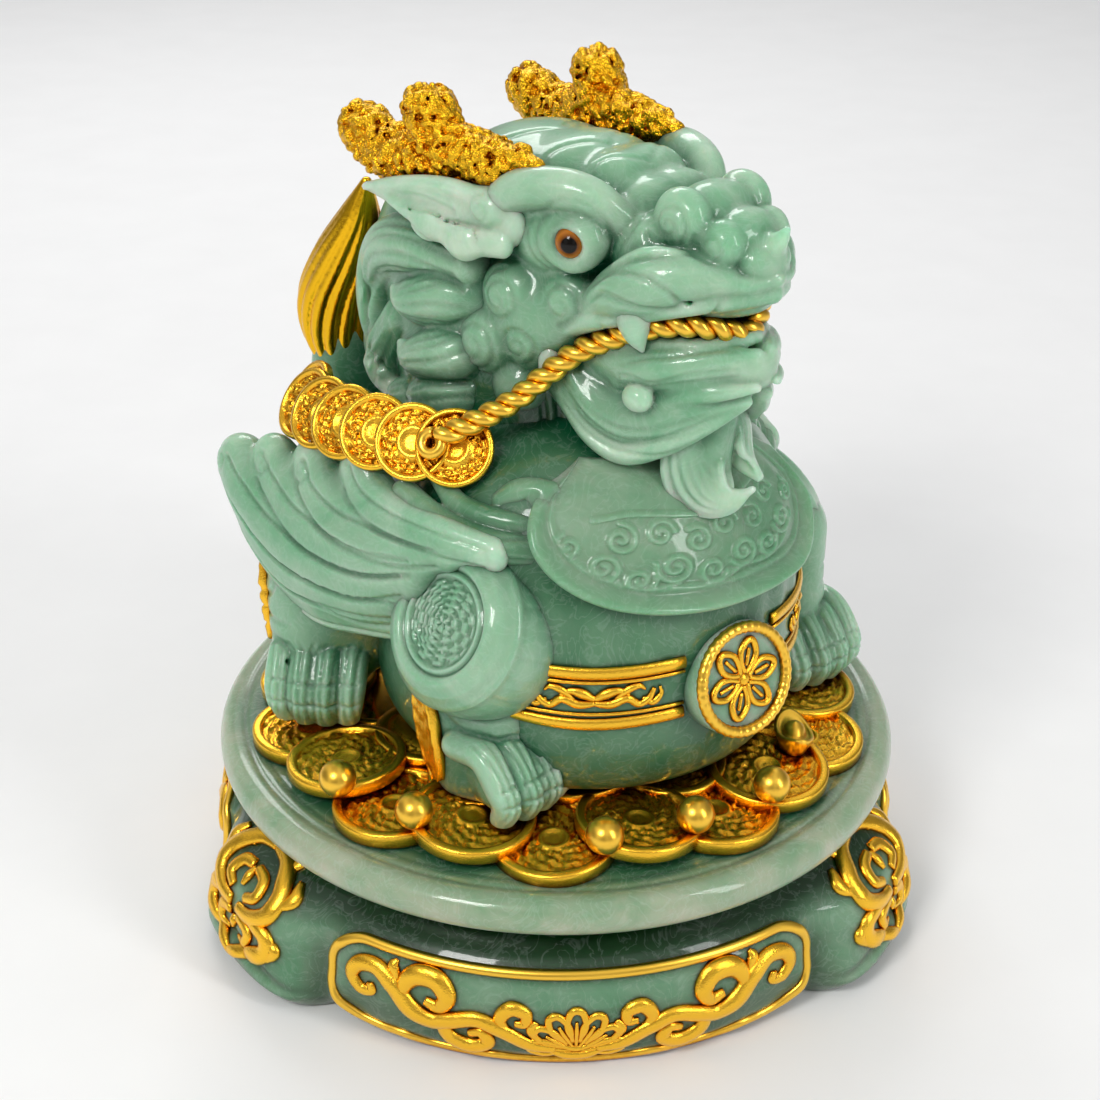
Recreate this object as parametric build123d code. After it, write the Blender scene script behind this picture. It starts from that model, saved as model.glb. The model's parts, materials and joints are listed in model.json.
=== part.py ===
"""Jade figurine: a dragon-headed beast on a coin heap, carried by a plate that turns on a footed stand.

The origin is on the table under the middle of the plate, +Z is up and the stand's front panel faces -Y.
The beast is drawn in its own frame (x forward, y to its left, z up) and turned by HEADING at the end.
"""
from build123d import *
from math import cos, sin, pi, radians
import os

# ---- driving dimensions, mm ----
PLATE_RADIUS = 80.0
PLATE_TOP = 44.0
PLATE_THICK = 9.0
STAND_RADIUS = 79.0
FELT_THICK = 1.2
COVER_THICK = 2.4
COVER_RADIUS = 66.0
APRON_LEVEL = 1.2
TURN_GAP = 1.5
HEADING = -46.0
SIDES = 3
STAND_TURN = 4.0
PANEL_HALF_ANGLE = 40.5
PANEL_LEVEL = 13.4
PANEL_HALF_HEIGHT = 11.8
PANEL_CORNER = 9.0
PANEL_BORDER = 2.6
BELLY_RADIUS = 48.0
BELLY_CENTRE = (9.0, 0.0, 82.0)
BELLY_DEPTH = 33.5
BELLY_RISE = 48.0
BIB_THICK = 3.0
HEAD_CENTRE = (3.0, 0.0, 161.0)
COIN_RADIUS = 13.0
COIN_THICK = 2.6
COIN_RING = 58.5
COIN_COUNT = 20
BEAD_RADIUS = 4.4
BALL_COUNT = 12
SMALLEST_BELT_PIECE = 20.0

# ---- worked-out levels ----
PLATE_BOTTOM = PLATE_TOP - PLATE_THICK
STAND_TOP = PLATE_BOTTOM - TURN_GAP
BEARING_RADIUS = 28.0
BALL_RADIUS = 1.7
BALL_RING = 20.0
RACE_THICK = 1.5
RACE_CLEARANCE = 0.1
RUN_FIT = 0.05
LOWER_RACE_TOP = STAND_TOP - 2.0
BALL_LEVEL = LOWER_RACE_TOP + RACE_THICK
UPPER_RACE_BOTTOM = BALL_LEVEL + RACE_THICK
RIVET_RADIUS = 3.0
SCREW_RING = 24.5
BED_TOP = PLATE_TOP + 2.2
SEAT = PLATE_TOP + 2 * COIN_THICK + 0.2

os.makedirs("parts", exist_ok=True)


# ---- small helpers ----
def polar(radius, angle, level=0.0):
    """Point at a radius and an angle from -Y, counted towards +X."""
    return Vector(radius * sin(radians(angle)), -radius * cos(radians(angle)), level)


def ellipsoid(centre, half, turn=(0, 0, 0)):
    """Solid ellipsoid with the given half axes."""
    return Location(centre, turn) * scale(Sphere(1), by=half)


def horn(stations):
    """Smooth loft through round sections given as (x, y, z, radius)."""
    points = [Vector(*s[:3]) for s in stations]
    line = Spline(*points)
    count = len(stations) - 1
    sections = []
    for index, station in enumerate(stations):
        place = line.position_at(index / count) if 0 < index < count else points[index]
        heading = line.tangent_at(index / count)
        sections.append(Plane(origin=points[index], z_dir=heading) * Circle(station[3]))
    return loft(sections)


def bent_tube(points, radius, bend):
    """Round tube along straight runs joined by tangent arcs."""
    path = FilletPolyline(*[Vector(*p) for p in points], radius=bend)
    start = Plane(origin=path @ 0, z_dir=path % 0)
    return sweep(start * Circle(radius), path=path)


def apart(one, other):
    """True if the boxes round two pieces don't meet."""
    a, b = one.bounding_box(), other.bounding_box()
    return (a.max.X < b.min.X or b.max.X < a.min.X or a.max.Y < b.min.Y or b.max.Y < a.min.Y
            or a.max.Z < b.min.Z or b.max.Z < a.min.Z)


def less(piece, *others):
    """Cut every other piece away and keep the largest solid that is left."""
    for other in others:
        if not apart(piece, other):
            piece = piece - other
    return piece.solids().sort_by(SortBy.VOLUME)[-1] if len(piece.solids()) > 1 else piece


def mirrored(piece):
    """The same piece on the beast's left side."""
    return mirror(piece, about=Plane.XZ)


def spin(piece, angle):
    """The piece turned about the plate's axis."""
    return Rotation(0, 0, angle) * piece


def save(name, piece, turned=False):
    """Write one named sub-part; the beast's pieces are turned to their heading first."""
    piece = spin(piece, HEADING) if turned else piece
    solids = piece.solids()
    export_step(Compound(children=solids) if len(solids) > 1 else solids[0], f"parts/{name}.step")


# ---- stand ----
def stand_section(extra=0.0):
    """Half section of the stand's convex wall, from the underside to the top."""
    r = STAND_RADIUS + extra
    wall = Spline((r - 4, APRON_LEVEL), (r, 15), (r - 1, 24), (r - 10, STAND_TOP))
    lines = [Line((0, STAND_TOP), (r - 10, STAND_TOP)), wall, Line((r - 4, APRON_LEVEL), (0, APRON_LEVEL)),
             Line((0, APRON_LEVEL), (0, STAND_TOP))]
    return Plane.XZ * make_face(lines)


def foot(angle):
    """One cabriole foot: a shoulder lobe above a wider toe lobe, flat where it meets the table."""
    toe = ellipsoid((0, -73, 13), (27, 15.5, 15))
    shoulder = ellipsoid((0, -70, 22), (17, 12, 11))
    flat = Pos(0, -70, -20) * Box(90, 70, 40)
    return spin(toe + shoulder - flat, angle)


def foot_angles():
    return [60 + index * 360 / SIDES for index in range(SIDES)]


def panel_angles():
    return [index * 360 / SIDES for index in range(SIDES)]


def make_stand():
    """Outside of the stand, with one panel straight ahead."""
    shell = revolve(stand_section(), Axis.Z)
    for angle in foot_angles():
        shell += foot(angle)
    notch = Pos(0, -STAND_RADIUS, -3.5) * Rotation(90, 0, 0) * Cylinder(6.5, 20)
    for angle in panel_angles():
        for side in (-1, 1):
            shell -= spin(notch, angle + side * (PANEL_HALF_ANGLE + 1))
    return shell


def make_stand_pockets():
    """Recess for the cover and pockets for the bearing, cut from the stand."""
    cover_recess = Cylinder(COVER_RADIUS + 0.3, 2 * (FELT_THICK + COVER_THICK))
    race_pocket = Pos(0, 0, LOWER_RACE_TOP - RACE_THICK) * Cylinder(
        BEARING_RADIUS + 0.5, 20, align=(Align.CENTER, Align.CENTER, Align.MIN))
    rivet_pocket = Pos(0, 0, LOWER_RACE_TOP - RACE_THICK - 2) * Cylinder(
        6.5, 5, align=(Align.CENTER, Align.CENTER, Align.MIN))
    driver_hole = Pos(*polar(SCREW_RING, 45)) * Cylinder(3.2, 60)
    return [cover_recess, race_pocket, rivet_pocket, driver_hole]


def panel_outline(grow):
    """Long rounded panel, seen from the front, as a bar that crosses the wall."""
    half_width = STAND_RADIUS * sin(radians(PANEL_HALF_ANGLE)) + grow
    face = RectangleRounded(2 * half_width, 2 * (PANEL_HALF_HEIGHT + grow), PANEL_CORNER + grow)
    return extrude(Plane.XZ.offset(40) * Pos(0, PANEL_LEVEL) * face, 60)


def panel_skin(outer, inner):
    """Layer that lies on the wall between two offsets."""
    return revolve(stand_section(outer), Axis.Z) - revolve(stand_section(inner), Axis.Z)


def make_panel_frame(stand):
    band = panel_outline(0) - panel_outline(-PANEL_BORDER)
    return less(panel_skin(1.8, 0) & band, stand)


def make_scrollwork(stand):
    """Shell fan in the middle of the panel with a wave of three half rounds on each side."""
    level, bow, line = PANEL_LEVEL, 5.8, 2.2
    drawing = Circle(3.0)
    for index in range(-3, 4):
        petal = Pos(0, 5.0) * Ellipse(1.7, 5.0)
        drawing += Rotation(0, 0, index * 26) * petal
    drawing = Pos(0, level - 5) * drawing
    for side in (-1, 1):
        for index in range(3):
            centre = (side * (4 + bow * (2 * index + 1)), level)
            sweep_angle = 180 if index % 2 else -180
            drawing += SlotArc(CenterArc(centre, bow, 180 if side > 0 else 0, -side * sweep_angle), line)
    bar = extrude(Plane.XZ.offset(40) * drawing, 60)
    return less(panel_skin(1.5, 0) & bar & panel_outline(-PANEL_BORDER - 0.4), stand)


def make_foot_ornament(stand):
    """Open shield of two ovals on the foot's shoulder."""
    wide, tall = 8.5, 6.5
    oval = Ellipse(wide, tall) - Ellipse(wide - 2.4, tall - 2.4)
    lower = Pos(0, -10.5) * (Ellipse(wide - 2, tall - 0.5) - Ellipse(wide - 4.4, tall - 2.9))
    shield = extrude(Plane.XZ.offset(60) * Pos(0, 24.5) * (oval + lower), 45)
    skin = ellipsoid((0, -73, 13), (28.2, 16.8, 16.2)) + ellipsoid((0, -70, 22), (18.2, 13.2, 12.2))
    return less(skin & shield, spin(stand, -foot_angles()[0]))


def make_stand_nodes(screws):
    outside = make_stand()
    frame_piece = make_panel_frame(outside)
    scroll_piece = make_scrollwork(outside)
    ornament = make_foot_ornament(outside)
    stand = spin(outside, STAND_TURN)
    for pocket in make_stand_pockets():
        stand -= pocket
    save("stand_shell", stand - screws)
    for index, angle in enumerate(panel_angles()):
        save(f"panel_frame_{index + 1}", spin(frame_piece, angle + STAND_TURN))
        save(f"panel_scrollwork_{index + 1}", spin(scroll_piece, angle + STAND_TURN))
    for index, angle in enumerate(foot_angles()):
        save(f"foot_ornament_{index + 1}", spin(ornament, angle + STAND_TURN))
    save("felt_sheet", extrude(Circle(COVER_RADIUS - 1), FELT_THICK))
    save("base_cover", Pos(0, 0, FELT_THICK) * extrude(Circle(COVER_RADIUS), COVER_THICK))


# ---- swivel bearing ----
def ring_of(piece, count, offset=0.0):
    return Compound(children=[spin(piece, offset + index * 360 / count) for index in range(count)])


def make_screws(level, direction):
    """Four countersunk screws at the bearing's rim; direction is the way they point."""
    head = Cone(2.4, 1.3, 1.2, align=(Align.CENTER, Align.CENTER, Align.MIN))
    shank = Cylinder(1.3, 6.2, align=(Align.CENTER, Align.CENTER, Align.MIN))
    screw = head + shank
    if direction < 0:
        screw = Rotation(180, 0, 0) * screw
    return Pos(0, 0, level) * screw


def make_bearing():
    race_hole = Cylinder(RIVET_RADIUS, 100)
    groove = Pos(0, 0, BALL_LEVEL) * Torus(BALL_RING, BALL_RADIUS)
    loose_groove = Pos(0, 0, BALL_LEVEL) * Torus(BALL_RING, BALL_RADIUS + RACE_CLEARANCE)
    race = Cylinder(BEARING_RADIUS, RACE_THICK, align=(Align.CENTER, Align.CENTER, Align.MIN))
    lower_screw = Pos(SCREW_RING, 0, 0) * make_screws(LOWER_RACE_TOP, -1)
    upper_screw = Pos(SCREW_RING, 0, 0) * make_screws(UPPER_RACE_BOTTOM, 1)
    lower_screws = ring_of(lower_screw, 4)
    upper_screws = ring_of(upper_screw, 4, 45)
    driver_hole = Pos(*polar(SCREW_RING, 45)) * Cylinder(3.2, 80)
    lower = Pos(0, 0, LOWER_RACE_TOP - RACE_THICK) * race - race_hole - groove - lower_screws - driver_hole
    upper = Pos(0, 0, UPPER_RACE_BOTTOM) * race - race_hole - loose_groove - upper_screws
    ball = Pos(BALL_RING, 0, BALL_LEVEL) * Sphere(BALL_RADIUS - 0.01)
    hole = Pos(BALL_RING, 0, BALL_LEVEL) * Cylinder(BALL_RADIUS + 0.1, 4)
    cage = Pos(0, 0, BALL_LEVEL) * (Cylinder(BALL_RING + 3, 0.8) - Cylinder(BALL_RING - 3, 2))
    cage = cage - ring_of(hole, BALL_COUNT)
    rivet_low = LOWER_RACE_TOP - RACE_THICK - RUN_FIT
    rivet_high = UPPER_RACE_BOTTOM + RACE_THICK
    rivet = Pos(0, 0, rivet_low) * Cylinder(
        RIVET_RADIUS - RUN_FIT, rivet_high - rivet_low, align=(Align.CENTER, Align.CENTER, Align.MIN))
    rivet += Pos(0, 0, rivet_low - 1.3) * Cylinder(5.5, 1.3, align=(Align.CENTER, Align.CENTER, Align.MIN))
    rivet += Pos(0, 0, rivet_high) * Cylinder(5.5, 1.2, align=(Align.CENTER, Align.CENTER, Align.MIN))
    save("bearing_lower_race", lower)
    save("bearing_upper_race", upper)
    save("bearing_balls", ring_of(ball, BALL_COUNT))
    save("ball_cage", cage)
    save("pivot_rivet", rivet)
    save("stand_screws", lower_screws)
    save("plate_screws", upper_screws)
    return lower_screws, upper_screws


# ---- turning plate and coin heap ----
def make_plate(screws):
    """Round plate with a full bullnose edge and the bearing's pocket below."""
    nose = PLATE_THICK / 2
    flat = PLATE_RADIUS - nose
    edge = ThreePointArc((flat, PLATE_BOTTOM), (PLATE_RADIUS, PLATE_BOTTOM + nose), (flat, PLATE_TOP))
    face = make_face([Line((0, PLATE_BOTTOM), (flat, PLATE_BOTTOM)), edge,
                      Line((flat, PLATE_TOP), (0, PLATE_TOP)), Line((0, PLATE_TOP), (0, PLATE_BOTTOM))])
    plate = revolve(Plane.XZ * face, Axis.Z)
    pocket_top = UPPER_RACE_BOTTOM + RACE_THICK
    pocket = Cylinder(BEARING_RADIUS + 0.3, pocket_top, align=(Align.CENTER, Align.CENTER, Align.MIN))
    rivet_pocket = Cylinder(6.5, pocket_top + 1.6, align=(Align.CENTER, Align.CENTER, Align.MIN))
    return plate - pocket - rivet_pocket - screws


def make_coin_bed():
    """Poured bed of the heap: a thin skirt under the loose-looking coins and a mound that the beast stands on."""
    skirt = Pos(0, 0, PLATE_TOP) * Cylinder(45, BED_TOP - PLATE_TOP, align=(Align.CENTER, Align.CENTER, Align.MIN))
    mound = Pos(0, 0, PLATE_TOP) * Cylinder(43.5, SEAT - PLATE_TOP, align=(Align.CENTER, Align.CENTER, Align.MIN))
    return skirt + mound


def coin():
    """Coin with a raised rim on its upper face."""
    body = Cylinder(COIN_RADIUS, COIN_THICK, align=(Align.CENTER, Align.CENTER, Align.MIN))
    dish = Pos(0, 0, COIN_THICK - 0.7) * Cylinder(
        COIN_RADIUS - 1.8, 2, align=(Align.CENTER, Align.CENTER, Align.MIN))
    return body - dish


def make_coin_rings():
    """Lower ring lies flat on the plate; the upper ring is turned half a step and lies on it."""
    lower, upper = [], []
    for index in range(COIN_COUNT // 2):
        angle = index * 720 / COIN_COUNT
        low = Pos(*polar(COIN_RING, angle, PLATE_TOP)) * coin()
        high = Pos(*polar(COIN_RING - 1.0, angle + 360 / COIN_COUNT, PLATE_TOP + COIN_THICK + 0.1)) * coin()
        lower.append(low)
        upper.append(high)
    return lower, upper


def ingot():
    """Boat-shaped ingot with a round dome between its raised ends."""
    boat = Pos(0, 0, 3.2) * scale(Sphere(1), by=(7.0, 4.0, 3.2))
    hollow = Pos(0, 0, 8.2) * Rotation(90, 0, 0) * Cylinder(4.6, 20)
    dome = Pos(0, 0, 4.2) * scale(Sphere(1), by=(2.8, 2.6, 2.4))
    return boat - hollow + dome


# ---- the beast ----
def belly_radius_at(level):
    """Radius of the squarish ball at a level: nearly upright walls below, a dome above."""
    rise = level - BELLY_CENTRE[2]
    reach, power = (BELLY_RISE, 2.5) if rise > 0 else (BELLY_DEPTH, 6)
    return BELLY_RADIUS * max(0.0, 1 - (abs(rise) / reach) ** power) ** (1 / power)


def belly_solid(extra=0.0):
    """Ball of the belly's outline, grown by an even thickness."""
    crown = BELLY_CENTRE[2] + BELLY_RISE + extra
    levels = [SEAT, 52, 58, 68, BELLY_CENTRE[2], 96, 108, 118, 126, crown - extra - 0.6]
    outline = [(belly_radius_at(level) + extra, level + extra * (level > 120)) for level in levels]
    outline.append((0, crown))
    face = make_face([Spline(*outline), Line((0, crown), (0, SEAT)), Line((0, SEAT), outline[0])])
    return Pos(BELLY_CENTRE[0], BELLY_CENTRE[1]) * revolve(Plane.XZ * face, Axis.Z)


def make_belly():
    """Ball that stands on the coins; the bib lies over its top."""
    return belly_solid() - below_seat()


def on_belly(angle, level, proud=0.0):
    """Point on the belly at an angle from straight ahead, towards the beast's left."""
    radius = belly_radius_at(level) + proud
    return Vector(BELLY_CENTRE[0] + radius * cos(radians(angle)),
                  BELLY_CENTRE[1] + radius * sin(radians(angle)), level)


def below_seat():
    """Everything under the level that the beast stands on."""
    return Pos(0, 0, SEAT - 50) * Box(300, 300, 100)


def make_rump():
    return ellipsoid((-26, 0, 84), (38, 40, 38)) - below_seat()


def make_neck():
    return horn([(-6, 0, 104, 34), (-4, 0, 126, 29), (0, 0, 150, 24)])


def make_bib():
    """Leaf-shaped saddle over the belly's upper front, with a thick edge."""
    front = Pos(BELLY_CENTRE[0] - 14, 0, 98)
    lift = front * Box(76, 120, 80, align=(Align.MIN, Align.CENTER, Align.MIN))
    return belly_solid(BIB_THICK) & lift


def make_belt():
    """Two parallel bands round the belly's front half."""
    rings = []
    for level in (73.0, 84.0):
        radius = belly_radius_at(level)
        ring = Pos(BELLY_CENTRE[0], 0, level) * (Cylinder(radius + 1.5, 3.0) - Cylinder(radius - 3, 5))
        rings.append(ring)
    front = Pos(BELLY_CENTRE[0] + 38, 0, 79) * Box(76, 110, 40)
    return [ring & front for ring in rings]


def medallion_plane():
    centre = on_belly(-4, 78.5, 2.5)
    return Plane(origin=centre, x_dir=(0.17, 1, 0), z_dir=(cos(radians(-8)), sin(radians(-8)), 0.26))


def make_medallion():
    disc = Pos(0, 0, -8) * extrude(Circle(12.6), 10)
    ring = Pos(0, 0, 1.2) * extrude(Circle(12.6) - Circle(10.6), 2.0)
    star = make_emblem()
    plane = medallion_plane()
    return plane * (disc - ring - Pos(0, 0, 1.2) * extrude(star, 3)), plane * ring, plane * (
        Pos(0, 0, 1.2) * extrude(star, 2.0))


def make_emblem():
    """Plain six-petal rosette."""
    petals = Circle(2.4)
    for index in range(6):
        petals += Rotation(0, 0, index * 60) * (Pos(5.2, 0) * Ellipse(3.6, 1.9))
    return petals


def make_barrel():
    """Drum-shaped shoulder boss, its ringed end face outward and up."""
    lean = 28
    plane = Plane(origin=(19, -52, 93.7), z_dir=(0, -cos(radians(lean)), sin(radians(lean))))
    body = plane * extrude(Circle(14), -30)
    bulge = plane * Pos(0, 0, -13) * Torus(11.5, 7.5)
    for depth, radius in ((-0.8, 11.2), (-0.8, 8.6)):
        body -= plane * Pos(0, 0, depth) * (Cylinder(radius, 2.4) - Cylinder(radius - 0.9, 4))
    return body + bulge


def make_wing():
    """Ribbed wing of three lobes that sweeps back from the shoulder."""
    wing = horn([(-2, -46, 88, 10), (-22, -49, 98, 12), (-40, -50, 103, 9), (-56, -50, 100, 4.5)])
    wing += ellipsoid((-46, -50, 107), (8, 6, 8))
    wing += ellipsoid((-29, -49, 110), (9, 6.5, 8.5))
    return wing


def make_leg(knee, ankle, toe, width):
    """Leg column with a broad paw and four toes in front."""
    kx, ky, kz = knee
    ax, ay, az = ankle
    tx, ty, tz = toe
    leg = horn([(kx, ky, kz, 13), ((kx + ax) / 2, (ky + ay) / 2, (kz + az) / 2, 11.5), (ax, ay, az, 10)])
    paw = ellipsoid(((ax + tx) / 2, (ay + ty) / 2, 57), (12, width, 11))
    leg += paw
    for index in range(4):
        side = (index - 1.5) / 1.5 * (width - 3.5)
        leg += ellipsoid((tx - 5 - abs(side) * 0.2, ty + side, 56.5), (6.0, 3.6, 9.5))
    return leg


def make_haunch():
    """Round thigh that joins the rear leg to the rump."""
    return ellipsoid((-33, -36, 76), (21, 15, 25))


def make_leg_scales(knee, ankle):
    """Flat gold strip down the back edge of one leg."""
    back = -8.5
    strip = horn([(knee[0] + back, knee[1] - 7.5, knee[2] - 4, 3.4),
                  ((knee[0] + ankle[0]) / 2 + back, (knee[1] + ankle[1]) / 2 - 7.5, (knee[2] + ankle[2]) / 2, 4.2),
                  (ankle[0] + back + 1, ankle[1] - 7.0, ankle[2] - 3, 3.0)])
    return strip


def make_head():
    """Skull, brows, cheeks and the upper jaw with its nose bulb and curled lip."""
    head = ellipsoid(HEAD_CENTRE, (27, 25, 22.5))
    head += horn([(14, 0, 160, 19), (32, 0, 163, 15), (48, 0, 166, 10.5), (57, 0, 168, 6)])
    head += ellipsoid((40, 0, 174.5), (9.5, 13, 8))
    for side in (-1, 1):
        head += ellipsoid((18, side * 17, 176), (12, 6.5, 6.5))
        head += ellipsoid((43, side * 9, 158), (12, 4.6, 4.6))
        head += ellipsoid((10, side * 21, 152), (9, 6, 8))
    head += ellipsoid((4, 0, 178), (14, 12, 7))
    return head


def make_lower_jaw():
    """Open lower jaw, a scoop with a rolled lip."""
    jaw = horn([(8, 0, 134, 15), (26, 0, 135, 13.5), (42, 0, 138, 11), (54, 0, 144, 6)])
    mouth = horn([(10, 0, 147, 12), (28, 0, 148, 10.5), (44, 0, 150, 8), (58, 0, 154, 4)])
    return jaw - mouth


def make_chin_beard():
    return horn([(38, 0, 131, 8), (42, 0, 124, 6.5), (47, 0, 118, 5), (54, 0, 121, 2.6)])


def make_mane():
    """Layered locks behind the cheeks: three rows of curls that end in round tips."""
    mane = ellipsoid((-18, 0, 148), (27, 27.5, 30))
    for side in (-1, 1):
        for row, (level, reach) in enumerate(((126, -30), (140, -40), (154, -41))):
            mane += ellipsoid((reach, side * 14, level), (9, 8, 8))
            mane += ellipsoid((reach + 18, side * 24, level - 3), (10, 7.5, 8))
        mane += ellipsoid((-2, side * 25, 139), (10, 7, 10))
        mane += ellipsoid((-12, side * 25, 127), (11, 8, 9))
    return mane


def make_ear():
    return horn([(2, -21, 167, 5.5), (-10, -27, 170, 5.0), (-22, -30, 171, 1.2)])


def make_eye():
    return Pos(23.4, -20.2, 169.5) * Sphere(3.4)


def make_antler():
    """Knobbly antler that lies along the head, with two round tines."""
    main = horn([(7, -19.5, 179.5, 2.2), (-4, -21, 181, 4.6), (-18, -22.5, 179.5, 6.0), (-31, -24, 179, 4.8)])
    main += ellipsoid((-33, -24, 179.5), (5.5, 4.8, 5))
    tine = horn([(-14, -22.5, 180, 5.2), (-15.5, -23.5, 187, 4.0), (-16, -24, 190, 3.4)])
    tine += Pos(-16, -24, 190.2) * Sphere(3.6)
    return main + tine


def make_coin_string():
    """Strung coins that overlap round the back of the neck, on the right side."""
    coins = []
    path = [(9, -38, 123, 24), (0, -42, 123, 12), (-9, -44, 123, 2), (-18, -44, 123, -8),
            (-27, -42, 123, -20), (-35, -37, 122, -34), (-41, -30, 121, -48)]
    for x, y, z, turn in path:
        coins.append(Pos(x, y, z) * Rotation(0, 0, turn) * Rotation(58, 0, 0) * Cylinder(8.2, 3.4))
    string = coins[0]
    for disc in coins[1:]:
        string += disc
    return string


def make_rope():
    """Twisted rope from the first coin up to the mouth and round the lower jaw."""
    half = [(7, -40, 128), (15, -31, 134), (22, -22, 142.5), (33, -17.5, 151), (46, -13.5, 156), (56, -6, 155.5)]
    points = half + [(x, -y, z) for x, y, z in reversed(half)]
    return bent_tube(points, 1.7, 3.0)


def make_tail():
    """Stub of the tail on the rump, and the gilt flame that rises from it."""
    base = horn([(-46, -6, 92, 12), (-58, -11, 104, 10.5), (-60, -13, 118, 9), (-60, -13, 128, 7.5)])
    flame = horn([(-60, -13, 120, 9.5), (-61, -13.5, 132, 11), (-58, -14, 146, 8), (-50, -14.5, 159, 4),
                  (-46, -15, 164, 1.2)])
    return base, flame


def make_fangs():
    return [horn([(36, side * 12.5, 158, 2.6), (37, side * 12.8, 153, 1.8), (37.5, side * 12.8, 149.5, 0.5)])
            for side in (-1, 1)]


FRONT_KNEE, FRONT_ANKLE, FRONT_TOE = (20, -41, 82), (22, -41, 62), (39, -41, 52)
REAR_KNEE, REAR_ANKLE, REAR_TOE = (-36, -42, 84), (-34, -46, 62), (-17, -51, 52)
PAW_HALF_WIDTH = 11.0
LEFT_STEP = Location((7, 6, 0))


def build_beast():
    """Make every cast and applied piece, each one cut back to the pieces that it sits on."""
    belly = make_belly()
    solids = {}
    solids["belly"] = belly
    rump = less(make_rump(), belly)
    neck = less(make_neck(), belly, rump)
    bib = less(make_bib(), belly, neck)
    solids.update(rump=rump, neck=neck, bib=bib)
    core = [belly, rump, neck, bib]
    barrel = less(make_barrel(), *core)
    wing = less(make_wing(), *core, barrel)
    front_leg = make_leg(FRONT_KNEE, FRONT_ANKLE, FRONT_TOE, PAW_HALF_WIDTH) - below_seat()
    front = less(front_leg, *core, barrel, wing)
    front_left = less(LEFT_STEP * mirrored(front_leg), *core, mirrored(barrel), mirrored(wing))
    rear_leg = make_leg(REAR_KNEE, REAR_ANKLE, REAR_TOE, PAW_HALF_WIDTH) + make_haunch() - below_seat()
    rear = less(rear_leg, *core, barrel, wing, front)
    solids.update(barrel_right=barrel, wing_right=wing, leg_front_right=front, leg_front_left=front_left,
                  leg_rear_right=rear)
    strip = make_leg_scales(FRONT_KNEE, FRONT_ANKLE)
    scale_front = less(strip, barrel, front, *core)
    scale_front_left = less(LEFT_STEP * mirrored(strip), mirrored(barrel), front_left, *core)
    scale_rear = less(make_leg_scales(REAR_KNEE, REAR_ANKLE), wing, rear, *core)
    head = less(make_head(), neck)
    eye = make_eye()
    head = head - eye - mirrored(eye)
    mane = less(make_mane(), head, neck, *core)
    jaw = less(make_lower_jaw(), head, mane, *core)
    beard = less(make_chin_beard(), jaw, head, *core)
    ear = less(make_ear(), head, mane)
    antler = less(make_antler(), head, mane, ear)
    fangs = [less(fang, head, jaw) for fang in make_fangs()]
    solids.update(head=head, mane=mane, lower_jaw=jaw, chin_beard=beard, ear_right=ear, antler_right=antler,
                  eye_right=eye)
    string = less(make_coin_string(), mane, *core, wing, barrel)
    base, flame = make_tail()
    base = less(base, *core, mane)
    flame = less(flame, base, mane)
    rope = less(make_rope(), jaw, head, mane, neck, string, mirrored(string), fangs[0], fangs[1])
    solids.update(coin_string_right=string, tail_base=base, tail_flame=flame, rope=rope)
    medallion, ring, emblem = make_medallion()
    medallion = less(medallion, belly)
    ring = less(ring, belly)
    belt = []
    for band in make_belt():
        for other in (belly, medallion, ring, emblem, front, front_left, barrel, mirrored(barrel)):
            band = band - other
        belt += [piece for piece in band.solids() if piece.volume > SMALLEST_BELT_PIECE]
    solids.update(medallion=medallion, medallion_ring=ring, medallion_emblem=emblem)
    groups = dict(belt=belt, fangs=fangs,
                  leg_scales=[scale_front, scale_front_left, scale_rear, mirrored(scale_rear)])
    return solids, groups


def touches(piece, others):
    """True if a piece shares space with any of the others."""
    for other in others:
        if not apart(piece, other):
            common = piece & other
            if common is not None and sum(solid.volume for solid in common.solids()) > 1e-3:
                return True
    return False


def make_coins(beast):
    """Coins, and the beads and ingots that lie on them wherever no paw stands."""
    lower, upper = make_coin_rings()
    turned = [spin(piece, HEADING) for piece in beast]
    beads, ingots = [], []
    upper_top = PLATE_TOP + 2 * COIN_THICK + 0.1
    below_coins = Pos(0, 0, upper_top - 50) * Box(300, 300, 100)
    for index in range(COIN_COUNT):
        angle = (index + 0.5) * 360 / COIN_COUNT
        if index % 4 == 3:
            boat = Pos(*polar(COIN_RING + 4, angle, SEAT)) * Rotation(0, 0, angle) * ingot()
            if not touches(boat, turned):
                ingots.append(boat)
        else:
            sphere = Pos(*polar(COIN_RING + 9, angle, upper_top + BEAD_RADIUS - 0.6)) * Sphere(BEAD_RADIUS)
            bead = sphere - below_coins
            if not touches(bead, turned):
                beads.append(bead)
    return lower, upper, beads, ingots


def main():
    lower_screws, upper_screws = make_bearing()
    make_stand_nodes(lower_screws)
    plate = make_plate(upper_screws)
    save("turning_plate", plate)
    bed = make_coin_bed()
    solids, groups = build_beast()
    mirrored_names = ("barrel", "wing", "leg_rear", "ear", "eye", "antler", "coin_string")
    for name in mirrored_names:
        solids[f"{name}_left"] = mirrored(solids[f"{name}_right"])
    feet = [solids[name] for name in ("leg_front_right", "leg_front_left", "leg_rear_right", "leg_rear_left")]
    lower, upper, beads, ingots = make_coins(feet)
    save("coin_bed", bed)
    save("coins_lower", Compound(children=lower))
    save("coins_upper", Compound(children=upper))
    save("coin_beads", Compound(children=beads))
    save("ingots", Compound(children=ingots))
    for name, piece in solids.items():
        save(name, piece, turned=True)
    for name, pieces in groups.items():
        save(name, Compound(children=pieces), turned=True)


main()
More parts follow.
